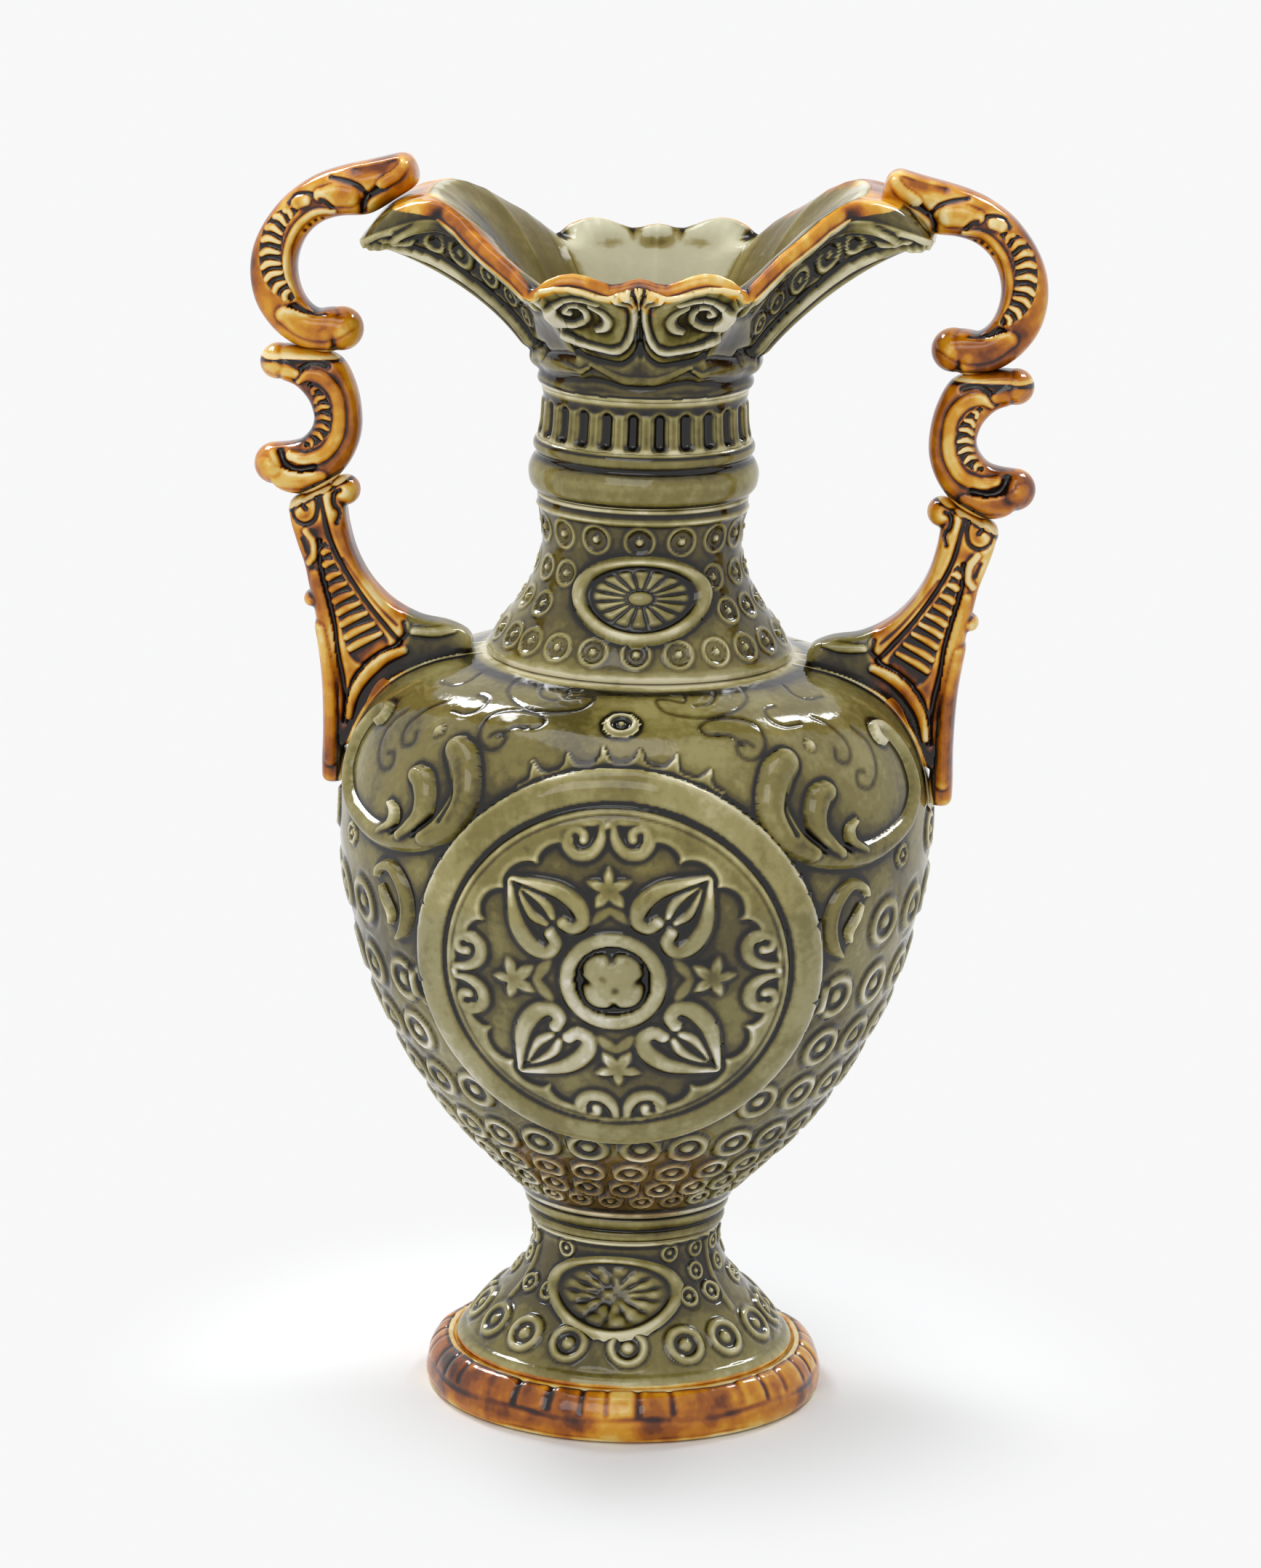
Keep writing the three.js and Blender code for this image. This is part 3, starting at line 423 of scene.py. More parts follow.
# %% One recipe for every glaze
def glaze(name, stops, amber_stops=AMBER, mottle=0.6, runs=1.0, shine=0.44):
    material = bpy.data.materials.new(name)
    material.use_nodes = True
    nodes, links = material.node_tree.nodes, material.node_tree.links
    shader = nodes["Principled BSDF"]

    def maths(kind, a, b=None, clamp=False):
        node = nodes.new("ShaderNodeMath")
        node.operation, node.use_clamp = kind, clamp
        for socket, value in zip(node.inputs, (a, b)):
            if isinstance(value, (int, float)):
                socket.default_value = value
            elif value is not None:
                links.new(value, socket)
        return node.outputs[0]

    def stored(label):
        node = nodes.new("ShaderNodeAttribute")
        node.attribute_name = label
        return node.outputs["Fac"]

    def noise(scale, detail, stretch=(1, 1, 1)):
        node, mapping = nodes.new("ShaderNodeTexNoise"), nodes.new("ShaderNodeMapping")
        mapping.inputs["Scale"].default_value = stretch
        links.new(coordinates.outputs["Object"], mapping.inputs["Vector"])
        links.new(mapping.outputs["Vector"], node.inputs["Vector"])
        node.inputs["Scale"].default_value = scale
        node.inputs["Detail"].default_value = detail
        return maths("SUBTRACT", node.outputs["Fac"], 0.5)

    coordinates = nodes.new("ShaderNodeTexCoord")
    ridge, swell = stored("ridge"), stored("swell")

    def mixed(fine_share, broad_share, limit):
        fine = maths("MULTIPLY", maths(limit, ridge, 0.0), fine_share)
        return maths("ADD", fine, maths("MULTIPLY", maths(limit, swell, 0.0), broad_share))

    worn = maths("ADD", maths("MULTIPLY", noise(75, 2), 2.4), 1.0)
    relief = maths("ADD", maths("MULTIPLY", mixed(0.26, 0.08, "MAXIMUM"), worn),
                   mixed(0.46, 0.24, "MINIMUM"))
    cloud = maths("MULTIPLY", noise(30, 3), 1.05 * mottle)
    drip = maths("MULTIPLY", noise(85, 3, (1, 1, 0.22)), 0.45 * mottle)
    speck = maths("MULTIPLY", noise(420, 4), 0.4 * mottle)
    own_tone = maths("ADD", 0.5, stored("pool"))
    unevenness = maths("ADD", maths("ADD", cloud, drip), speck)
    depth = maths("ADD", maths("ADD", relief, own_tone), unevenness, clamp=True)
    body_ramp = ramp_node(nodes, stops)
    links.new(depth, body_ramp.inputs["Fac"])

    streak = maths("MULTIPLY", noise(55, 3, (1, 1, 0.6)), 1.35 * runs)
    patch = maths("MULTIPLY", noise(170, 3), 0.55 * runs)
    amber_tone = maths("ADD", maths("MULTIPLY", relief, 0.95), 0.5)
    amber_depth = maths("ADD", amber_tone, maths("ADD", streak, patch), clamp=True)
    amber_ramp = ramp_node(nodes, amber_stops)
    links.new(amber_depth, amber_ramp.inputs["Fac"])

    edge = maths("ADD", stored("amber"), maths("MULTIPLY", noise(130, 3), 0.55))
    share = maths("MULTIPLY", maths("SUBTRACT", edge, 0.38), 5.0, clamp=True)
    mix = nodes.new("ShaderNodeMix")
    mix.data_type = "RGBA"
    links.new(share, mix.inputs["Factor"])
    # Painted bluish shade: the stored share of it multiplies the green towards a greyer blue.
    bluish_shade_mix = nodes.new("ShaderNodeMix")
    bluish_shade_mix.data_type, bluish_shade_mix.blend_type = "RGBA", "MULTIPLY"
    links.new(stored("bluish_shade"), bluish_shade_mix.inputs["Factor"])
    links.new(body_ramp.outputs["Color"], bluish_shade_mix.inputs["A"])
    bluish_shade_mix.inputs["B"].default_value = (0.97, 1.0, 1.26, 1)
    links.new(bluish_shade_mix.outputs["Result"], mix.inputs["A"])
    links.new(amber_ramp.outputs["Color"], mix.inputs["B"])
    links.new(mix.outputs["Result"], shader.inputs["Base Color"])

    ripple = maths("ADD", maths("MULTIPLY", noise(260, 2), 0.7), maths("MULTIPLY", noise(90, 1), 1.4))
    bump = nodes.new("ShaderNodeBump")
    bump.inputs["Strength"].default_value = 0.22
    bump.inputs["Distance"].default_value = 0.0006
    links.new(ripple, bump.inputs["Height"])
    links.new(bump.outputs["Normal"], shader.inputs["Normal"])
    rough = maths("ADD", maths("MULTIPLY", noise(200, 2), 0.07), 0.1)
    links.new(rough, shader.inputs["Roughness"])
    shader.inputs["IOR"].default_value = 1.5
    shader.inputs["Specular IOR Level"].default_value = shine
    return material


green_glaze = glaze("green_glaze", GREEN)
mouth_glaze = glaze("mouth_glaze", MOUTH_GREEN, mottle=0.3, shine=0.06)
amber_glaze = glaze("amber_glaze", GREEN)
print("materials", len(bpy.data.materials))


# %% Dressing a piece
def dress(piece, material, nodes, amber=None, overlaid=None, fine=0.8, broad=3.0, pool=0.0, bluish_shade=0.0):
    """Stores the relief, gives the glaze, and lets the piece stand for its nodes."""
    read_relief(piece, overlaid, fine, broad)
    count = len(piece.data.vertices)
    store(piece, "amber", np.zeros(count) if amber is None else amber)
    store(piece, "pool", np.zeros(count) + pool)
    # The share of painted bluish shade, stored on each vertex.
    store(piece, "bluish_shade", np.zeros(count) + bluish_shade)
    piece.data.materials.clear()
    piece.data.materials.append(material)
    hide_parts(*nodes)
    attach(piece, "root")
    piece.data.calc_loop_triangles()
    print(f"{piece.name}: {len(piece.data.loop_triangles)} triangles")


# %% [markdown]
# ## The wall of the body
# Its outline was read off the photograph's silhouette. The lower part is a long curve and the shoulder
# turns over quickly. A height on the wall is known by its z, and a distance along the wall is needed to
# draw round rings on a sloping part, so both are kept.

# %% Body outline, and places on it
BODY_LINE = flow([(32.3, 62.5), (33.4, 65.2), (36.4, 68.6), (40.5, 72.6), (46.5, 78.6), (52.6, 84.9),
                  (59.3, 93.3), (66.2, 103.8), (74.4, 118.8), (80.8, 134), (86.9, 157), (89.1, 172),
                  (89.3, 181), (88.8, 190), (86.3, 202), (81.7, 212), (74.2, 220.4), (62, 226.8),
                  (46, 230.6)], 0.85)
body_radius, body_arc = wall(BODY_LINE)


def on_body(azimuth, z):
    """Points on the body's wall, from degrees and a height."""
    return on_wall(azimuth, body_radius(z), z)


def seen_squarely(radius):
    """A place on a round wall given by x and z, as the front view shows it."""
    return lambda x, z: np.column_stack([x, -np.sqrt(np.maximum(radius(z) ** 2 - x**2, 1.0)), z])


# %% [markdown]
# ## The medallion
# The medallion is a separate round relief with a broad rolled frame. Inside lies a cusped border whose
# ends curl into eight volutes, four hearts with folded leaves, four small stars and a four-lobed
# boss in a ring. All of it is drawn in the medallion's own plane, seen squarely, and turned by the few
# degrees that the potter set it askew.

# %% Drawing the medallion
MEDAL_R = 59.2
MEDAL_CENTRE = (0.8, 155.0)
THIN_RING_CENTRE = (0.7, 153.9)
DESIGN_CENTRE = (0.5, 152.2)
DESIGN_TILT = math.radians(2.7)
HEART_TURN = math.radians(47)
CUSPS = np.array([13, 30, 48, 65, 77])
FIELD = 1.1


def heart(height, a, b):
    """A heart that points along +a: two crescents that start in curls, round a folded leaf."""
    for side in (1, -1):
        path = [(-5.6, 2.5, 2.4), (-8.4, 3.6, 2.4), (-8.8, 7.2, 2.7), (-4.8, 9.4, 3.1), (1.6, 8.6, 2.9),
                (7.2, 5.2, 2.2), (13.6, 0.4, 0.7)]
        bead(height, a, b * side, path, 1.9, 1.1)
    for side in (1, -1):
        bead(height, a, b * side, [(-2.2, 1.4, 1.5), (1.6, 2.6, 1.8), (5.6, 2.0, 1.3), (9.6, 0.5, 0.5)],
             1.3, 1.0)
    scratch(height, a, b, [(-3, 0), (3, 0), (9, 0)], 0.6, 0.5)


def medallion_height(x, z):
    outer = np.hypot(x - MEDAL_CENTRE[0], z - MEDAL_CENTRE[1])
    dx, dz = x - DESIGN_CENTRE[0], z - DESIGN_CENTRE[1]
    u = dx * math.cos(DESIGN_TILT) + dz * math.sin(DESIGN_TILT)
    v = dz * math.cos(DESIGN_TILT) - dx * math.sin(DESIGN_TILT)
    rho = np.hypot(u, v)
    inner = np.hypot(x - THIN_RING_CENTRE[0], z - THIN_RING_CENTRE[1])
    from_upright = np.degrees(np.arctan2(np.abs(u), np.abs(v)))
    in_cusps = (from_upright >= CUSPS[0]) & (from_upright <= CUSPS[-1])
    lobe = np.clip(np.searchsorted(CUSPS, from_upright) - 1, 0, 3)
    phase = np.clip((from_upright - CUSPS[lobe]) / (CUSPS[lobe + 1] - CUSPS[lobe]), 0, 1)
    border = 40.6 + 3.4 * np.sin(np.pi * phase) ** 0.6
    border = np.where(in_cusps, border, 46.5)
    height = FIELD + 1.3 * smooth((rho - border) / 1.3 + 0.5)
    height -= 0.35 * bell(rho - border + 0.9, 0.7) * in_cusps
    for flip_u in (1, -1):
        for flip_v in (1, -1):
            p, q = u * flip_u, v * flip_v
            for a, b in ((p, q), (q, p)):
                curl = [(1.4, 47.4, 1.4), (2.0, 42.6, 1.9), (5.0, 38.9, 2.2), (9.4, 38.6, 2.2),
                        (12.0, 42.0, 2.1), (10.2, 45.4, 1.9), (7.2, 44.6, 1.8), (7.0, 42.6, 1.9)]
                bead(height, a, b, curl, 1.5, FIELD)
                bead(height, a, b, [(11.5, 46.4, 1.6), (15, 45.2, 1.9), (19, 43.4, 1.8)], 1.2, FIELD)
            across = p * math.cos(HEART_TURN) + q * math.sin(HEART_TURN)
            heart(height, across - 28, q * math.cos(HEART_TURN) - p * math.sin(HEART_TURN))
    for k in range(4):
        w = math.pi / 2 * k
        a, b = u * math.sin(w) + v * math.cos(w), u * math.cos(w) - v * math.sin(w)
        ray = np.arctan2(b, a - 28.5)
        reach = 4.4 + 2.6 * (1 - np.abs(np.mod(ray * 5 / np.pi + 1, 2) - 1)) * 1.3
        star = FIELD + 1.5 * smooth((reach - np.hypot(b, a - 28.0)) / 3.0)
        height = np.maximum(height, star)
        chevron = [(-9.4, 17.4, 1.6), (-4.6, 19.4, 2.1), (0, 22.4, 2.4), (4.6, 19.4, 2.1), (9.4, 17.4, 1.6)]
        bead(height, b, a, chevron, 0.8, 1.0)
        bead(height, b, a, [(-0.3, 46.3, 1.3), (0.3, 46.6, 1.3)], 1.8, 1.3)
    ring = FIELD + 1.9 * dome(rho - 13.2, 2.5) ** 0.8
    height = np.maximum(height, ring)
    angle = np.arctan2(u, v)
    rim = 9.7 * (1 - 0.09 * np.cos(4 * angle))
    height = np.where(rho < 10.9, 0.1, height)
    boss = 0.1 + 4.6 * np.clip(1 - (rho / rim) ** 2.2, 0, 1) ** 0.6
    boss -= 1.5 * bell(np.minimum(np.abs(u), np.abs(v)), 1.2) * smooth((rho - 4.5) / 4) * (rho < rim)
    boss -= 0.5 * np.exp(-(((u - 0.8) ** 2 + (v + 1.5) ** 2) / 1.6))
    boss -= 0.4 * np.exp(-(((u + 2.6) ** 2 + (v - 2.2) ** 2) / 2.4))
    height = np.maximum(height, boss)
    thin = FIELD + 1.3 * dome(inner - 48.4, 1.25)
    beyond = smooth((inner - 46.8) / 1.4)
    height = height * (1 - beyond) + thin * beyond
    band = FIELD + 2.6 * dome(outer - 54.5, 4.7) ** 0.55
    height = np.where(outer > 50.0, np.where(outer < MEDAL_R, band, -0.6), height)
    edge = outer - MEDAL_R + 0.6
    return np.where(edge > 0, np.minimum(height, 0.8 - edge * 1.6), height)


# %% Leaves, drawn in millimetres round and up the wall
LEAF_UNIT = math.radians(1) * 84


def wall_spots(rows):
    """Places given in degrees and height, as millimetres round and up the wall."""
    return [(a * LEAF_UNIT, float(body_arc(h)), *rest) for a, h, *rest in rows]


def leaf_height(azimuth, z):
    """The shoulder leaf on the +X side: a stem that hooks round, and four swelling lobes that fan from it."""
    u, v = azimuth * LEAF_UNIT, body_arc(z)
    height = np.full(np.shape(azimuth), -0.8)
    draw(height, u, v, [
        (3.3, [(67.6, 212.6, 0.8), (65.8, 214.6, 1.8), (67.0, 217.0, 2.4), (70.2, 216.2, 2.6),
               (72.6, 211.4, 2.5), (74, 204.4, 2.7), (73.4, 197, 2.9), (69, 190.6, 3.3), (61.6, 186.6, 3.7),
               (54, 184.6, 4.0), (46.6, 185.4, 4.2), (40.3, 187.6, 4.2), (35.6, 191.4, 4.0)]),
        (4.2, [(36.6, 214.0, 5.0), (34.0, 211.6, 6.0), (31.8, 206.6, 5.8), (31.4, 200.4, 5.6),
               (34.2, 193.4, 5.2), (39.3, 188.4, 4.0)]),
        (4.1, [(44.2, 204.6, 3.9), (42.2, 203.2, 4.8), (40.7, 198.6, 4.4), (41.3, 192.8, 4.0),
               (45.5, 187.2, 3.2)]),
        (3.3, [(50.6, 195.0, 0.8), (48.8, 193.0, 2.0), (49.2, 189.2, 2.4), (52.4, 185.8, 2.2)]),
    ], base=-0.8, spots=wall_spots)
    for line in ([(38.4, 208.8), (36.8, 206.4), (36.6, 200.6), (37.6, 194.4), (41.8, 188.4)],
                 [(34.6, 205), (33.6, 200.6), (35.2, 194.4)],
                 [(45.4, 200), (44.8, 195.4), (45, 191), (48.2, 187.2)]):
        scratch(height, u, v, wall_spots(line), 1.2, 0.9)
    return height


def flank_height(azimuth, z):
    """The comma below it, with a small hook inside."""
    u, v = azimuth * LEAF_UNIT, body_arc(z)
    height = np.full(np.shape(azimuth), -0.8)
    draw(height, u, v, [
        (3.2, [(53.8, 172, 0.7), (52.4, 175, 1.7), (48.6, 176.2, 2.4), (45.4, 171.4, 3.1),
               (44.6, 164.6, 3.4), (46.2, 158.2, 2.8), (48.6, 154.6, 1.2)]),
        (3.1, [(52.4, 169.4, 0.7), (51.4, 165.8, 1.7), (49.9, 161.8, 1.8), (50.4, 158.6, 0.8)]),
        (1.3, 0.8, [(49.6, 172), (47.8, 167), (47.4, 161)]),
    ], base=-0.8, spots=wall_spots)
    return height


# %% [markdown]
# ## The body
# Ring-and-dot marks cover the lower body in rows, and columns of them climb each side. The shoulder
# carries thin scratched scrolls. The mesh has to be fine enough for a bead of one and a half
# millimetres, which makes it heavy, so the body is turned in two halves that meet under the handles,
# where the real mould parts too.

# %% Rows of rings on the body
def spread(first, pitch, count):
    return [first + pitch * k for k in range(count)]


BODY_RINGS = [
    (92.3, 6.2, [-90, -76.6, -62.8, -49.2, -36.1, -22.4, -7.8, 7.8, 21.6, 36.3, 50.2, 63.4, 76.8, 90]),
    (82.2, 5.3, spread(-81.5, 14.4, 12)),
    (74.9, 4.7, spread(-83.6, 14.4, 12)),
    (69.3, 3.7, spread(-90, 14.4, 13)),
    (107.5, 6.6, [-90, -77, -64, -51.3, -38, 38, 51.3, 64, 77, 90]),
    (123.5, 6.9, [-90, -77, -64, -51.3, 51.3, 64, 77, 90]),
    (140.5, 7.0, [-90, -77, -64, -50.6, -42.6, 42.6, 50.6, 64, 77, 90]),
    (161.0, 7.2, [-88, -75, -62, 62, 75, 88]),
    (181.5, 6.0, [-84, 84]),
    (180.2, 3.4, [-66, 66]),
]

SHOULDER_SCROLLS = [
    [(15, 229.4), (18.6, 229.2), (17.4, 228.2), (13.4, 228.6), (9.4, 228.6), (10.6, 227), (14.6, 226),
     (22, 225.4), (30, 226.2), (37, 227.9), (40.4, 229.6)],
    [(20, 227.6), (25.4, 228), (29.6, 229.4)],
    [(22.8, 221.8), (20.3, 222.0), (18.9, 223.5), (23, 225), (29.6, 224.8), (33.6, 223.2), (33.8, 220),
     (31.9, 216.8), (28.9, 215.4), (26.6, 216.6), (26.4, 219.0), (28.7, 220.0), (30.2, 218.7)],
    [(22.8, 221.8), (25.8, 221.4), (28, 219)],
    [(45.5, 222.1), (40.7, 222.2), (38.2, 223.9), (39.2, 225.9), (43.2, 226.3)],
    [(55.8, 228.8), (53.5, 227.5), (55.8, 226.2), (62, 226)],
    [(50.6, 223), (52.9, 221.3), (54.6, 218.5), (55.0, 214.1), (52.6, 211), (49.8, 212.4), (50.6, 215)],
    [(60, 219), (62, 214), (60.6, 207), (57, 203), (53.6, 204.6), (54.4, 208), (56.6, 207.6)],
]


def scratch_scrolls(height, azimuth, z, depth, width):
    u, v = azimuth * LEAF_UNIT, body_arc(z)
    for path in SHOULDER_SCROLLS:
        for side in (1, -1):
            scratch(height, u, v, wall_spots([(side * a, h) for a, h in path]), depth, width)


def ringed(azimuth, z, rows, radius_at, arc, mark, scale, rise, reach=1.6):
    """The height of rows of marks. A row is its height, a mark's radius and the degrees of its marks."""
    height = np.zeros(len(z))
    r, run = radius_at(z), arc(z)
    for row_z, radius, places in rows:
        for place in places:
            gap = np.hypot(np.radians(azimuth - place) * r, run - arc(row_z))
            near = gap < radius * reach
            height[near] += mark(gap[near], radius * scale, rise)
    return height


def body_height(azimuth, z):
    """The body's own relief, for degrees from the middle of the nearer face."""
    height = ringed(azimuth, z, BODY_RINGS, body_radius, body_arc, ring_and_dot, 1.1, 0.95, reach=1.5)
    r, run = body_radius(z), body_arc(z)
    x = r * np.sin(np.radians(azimuth))
    dx, dz = x - 1.0, z - 155.0
    gap, angle = np.hypot(dx, dz), np.degrees(np.arctan2(dx, dz))
    tip = (angle - 4.75) / 9.5
    scallop = 60.8 + 4.6 * (1 - 2 * np.abs(tip - np.round(tip))) ** 4
    height += 0.6 * smooth((scallop - gap) / 1.0) * (np.abs(angle) < 30) * (z > 190)
    scratch_scrolls(height, azimuth, z, 0.3, 0.6)
    for side in (1, -1):
        stud = np.hypot((azimuth - side * 44.5) * LEAF_UNIT, run - body_arc(217.2))
        height += 1.1 * bell(stud, 1.7) - 0.6 * bell(stud - 3.0, 0.8)
    return height


def shoulder_lines(azimuth, z):
    """How much darker the glaze is in the scratched scrolls, where it has run together."""
    dark = np.zeros(len(z))
    scratch_scrolls(dark, azimuth, z, 0.34, 0.8)
    return dark


# %% The two halves
BOSS_Z = 224.0
BODY_FLOOR = [(0, 62.5), (16, 62.5), (30, 62.5)]
BODY_INSIDE = flow([(38.2, 229.6), (39.5, 226.6), (58, 222.4), (70, 216.4), (77.4, 209.4), (81.6, 201),
                    (84, 190), (84.6, 180), (82.4, 158), (76, 133), (61, 104), (48, 87), (36, 75.5),
                    (22, 69.5), (0.0, 68.5)], 5.0)


def body_half(name, start):
    outline = [*BODY_FLOOR, *BODY_LINE.tolist(), (38.0, 230.6), *BODY_INSIDE.tolist()]
    piece = turned(name, outline, 318, start=start, sweep=180.0, on_axis=True)
    points = points_of(piece)
    outside = (from_axis(points) > body_radius(points[:, 2]) - 0.6) & (points[:, 2] > 62.6)
    azimuth = azimuth_of(points)
    if start > 0:
        azimuth = (azimuth + 360) % 360 - 180
    z = points[:, 2]
    own = np.where(outside, body_height(azimuth, z), 0)
    push(piece, own)
    x = body_radius(z) * np.sin(np.radians(azimuth))
    laid = np.maximum(medallion_height(x, z), 0)
    for side in (1, -1):
        laid = np.maximum(laid, np.maximum(leaf_height(azimuth * side, z), flank_height(azimuth * side, z)))
    boss = np.hypot(np.radians(azimuth) * body_radius(z), body_arc(z) - body_arc(BOSS_Z))
    laid = np.maximum(laid, 1.4 * (boss < 5.4))
    laid += 6 * smooth((z - 229.2) / 1.4) * (from_axis(points) > 44)
    bracket = smooth((9.5 - np.abs(points[:, 1])) / 2.5) * (z > 185) * (np.abs(azimuth) > 60)
    laid += 5 * bracket
    laid += 4 * smooth((64.2 - z) / 1.4)
    laid = np.where(outside, laid - np.minimum(own, laid), 0)
    a = np.radians(azimuth)
    if start < 0:
        runs_to, width = 90.5 + 2.2 * np.sin(a * 7), smooth((36 - np.abs(azimuth + 1)) / 3)
    else:
        runs_to, width = 76 + 3 * np.sin(a * 5), smooth((22 - np.abs(azimuth - 30)) / 3)
    brown = 0.8 * smooth((runs_to - z) / 2.5) * width
    pool = np.where(outside, shoulder_lines(azimuth, z), 0)
    # Below a wavy line across the belly the glaze is given painted bluish shade.
    dress(piece, body_glaze, ["body"], brown, laid, pool=pool, bluish_shade=bluish_shade_below_belly(azimuth, z))


def bluish_shade_below_belly(azimuth, z):
    """Painted bluish shade on the lower belly: below a wavy line across it the green is made greyer and
    bluer.
    """
    a = np.radians(azimuth)
    return smooth((172 + 5 * np.sin(3 * a + 0.6) + 2.5 * np.sin(9 * a) - z) / 4)


body_glaze = glaze("body_glaze", GREEN, BROWN, runs=0.5)
body_half("body_front_half", -90.0)
body_half("body_back_half", 90.0)

# %% Medallions on both faces
for face in ("front", "back"):
    node = f"medallion_{face}"
    medal = applied(node, face, seen_squarely(body_radius), (-59.6, 61.2), (94.6, 215.4), (0.56, 0.56),
                    medallion_height, sink=0.5)
    points = points_of(medal)
    # The medallion's lower part gets the same painted bluish shade as the belly.
    bluish_shade = bluish_shade_below_belly(nearer_face(azimuth_of(points)), points[:, 2])
    dress(medal, green_glaze, [node], bluish_shade=bluish_shade)

# %% Leaves and bosses
def boss_height(x, z):
    gap = np.hypot(x, (body_arc(z) - body_arc(BOSS_Z)))
    height = 1.3 * dome(gap - 3.7, 1.1) + 1.0 * dome(gap, 1.4)
    return np.where(gap > 5.2, -0.6, np.maximum(height, 0.15) * smooth((5.4 - gap) / 0.6))


LEAVES = (("shoulder_leaf", leaf_height, (26.5, 77.5), (179, 219.8)),
          ("flank_leaf", flank_height, (40.5, 56), (149, 180)))
for face in ("front", "back"):
    for side, sign in (("right", 1), ("left", -1)):
        hand = sign if face == "front" else -sign
        for kind, height, u_range, v_range in LEAVES:
            node = f"{kind}_{face}_{side}"
            drawn = (lambda azimuth, z, f=height, h=hand: f(azimuth * h, z))
            span = u_range if hand > 0 else (-u_range[1], -u_range[0])
            leaf = applied(node, face, on_body, span, v_range, (0.27, 0.35), drawn)
            dress(leaf, green_glaze, [node])
    node = f"shoulder_boss_{face}"
    boss = applied(node, face, seen_squarely(body_radius), (-6, 6), (221.2, 226.4), (0.3, 0.12),
                   boss_height, sink=0.5)
    dress(boss, green_glaze, [node])

# %% [markdown]
# ## Neck, rings and flutes
# These are plain turned pieces one above the other. Their mouldings are in the outlines, and the rings,
# dots and flutes are pushed in or out afterwards.

# %% Neck
NECK_LINE = flow([(46, 231.2), (46.1, 232.4), (45.4, 233.6), (43.9, 235.6), (40.9, 240.6), (37.8, 244.8),
                  (34.8, 249.2), (32.3, 254.4), (30.7, 259.2), (29.9, 264), (29.9, 268), (30.4, 272),
                  (31.3, 276.4), (31.7, 279.7)], 0.6)
neck_radius, neck_arc = wall(NECK_LINE)
NECK_RINGS = [
    (270.2, 4.5, [-90, -68, -46, -22.7, 2.7, 27, 50, 70, 90]),
    (258.6, 3.9, [-83, -61, -42, 47.6, 69, 87]),
    (248.8, 4.1, [-88, -70, -52, 52, 68.7, 86]),
    (238.9, 4.4, [-92, -76, -60, -46.5, -31.3, -15, 2.6, 20, 36.6, 52.5, 68, 84]),
]


def neck_height(azimuth, z):
    height = ringed(azimuth, z, NECK_RINGS, neck_radius, neck_arc, cup_and_dot, 0.92, 0.75)
    return height + 0.7 * bell(z - 276.0, 0.8)


def oval(x, z, centre, half_w, half_h):
    return np.hypot((x - centre[0]) / half_w, (z - centre[1]) / half_h)


def daisy(x, z, centre, half_w, half_h, petals, rise):
    """Petals round a small oval boss."""
    q = oval(x, z, centre, half_w, half_h)
    angle = np.arctan2((z - centre[1]) / half_h, (x - centre[0]) / half_w)
    petal = np.abs(np.cos(angle * petals / 2)) ** 0.7
    rays = rise * petal * smooth((0.72 - q) / 0.14) * smooth((q - 0.1) / 0.2)
    boss = 1.5 * rise * np.clip(1 - (q / 0.19) ** 2, 0, 1) ** 0.5
    return np.maximum(rays, boss)


NECK_OVAL = {"centre": (2.2, 253.6), "half_w": 20.4, "half_h": 12.2}


def neck_oval_height(x, z):
    q = oval(x, z, **NECK_OVAL)
    frame_bead = 0.5 + 1.9 * dome(q - 0.88, 0.13)
    height = np.maximum(frame_bead, 0.5 + daisy(x, z, **NECK_OVAL, petals=16, rise=0.95))
    return np.where(q > 1.0, 0.4 - (q - 1.0) * 18, height)


def ornamented(name, line, inside, columns, radius, marks, oval_height):
    """A turned casting with its marks pushed out, then its heights, its outer side and the oval."""
    piece = turned(name, [*line.tolist(), *flow(inside, 3).tolist()], columns)
    points = points_of(piece)
    z, azimuth = points[:, 2], nearer_face(azimuth_of(points))
    outside = from_axis(points) > radius(z) - 0.5
    own = np.where(outside, marks(azimuth, z), 0)
    push(piece, own)
    seen_x = radius(z) * np.sin(np.radians(azimuth))
    laid = np.where(outside, np.maximum(oval_height(seen_x, z), 0), 0)
    return piece, z, outside, np.maximum(laid - own, 0)


NECK_INSIDE = [(27.2, 279.7), (25.6, 268), (27, 256), (33, 244), (38, 236), (38, 231.2)]
neck, z, outside, laid = ornamented("neck_casting", NECK_LINE, NECK_INSIDE, 400, neck_radius, neck_height,
                                    neck_oval_height)
laid += np.where(outside, 3 * smooth((z - 278.6) / 1.2), 0)
dress(neck, green_glaze, ["neck"], overlaid=laid)

# %% Ring, fluted collar and stem collar
RING_LINE = flow([(31.3, 280.1), (32.4, 280.7), (33.8, 282.4), (34.4, 285), (34.3, 287.4), (33.3, 289.8),
                  (32.2, 291.1), (32.3, 292), (33.0, 293.2), (33.1, 294.6), (32.4, 296),
                  (31.3, 296.6)], 0.45)
ring = turned("neck_ring_casting", [*RING_LINE.tolist(), (27, 296.6), (27, 288), (27, 280.1)], 320)
points = points_of(ring)
z = points[:, 2]
laid = (from_axis(points) > 31) * (4 * smooth((281.0 - z) / 0.8) + 2.5 * smooth((z - 295.6) / 0.8))
pool = 0.14 * smooth((z - 281.6) / 2) * smooth((290.4 - z) / 1.5)
dress(ring, green_glaze, ["neck_ring"], overlaid=laid, pool=pool)

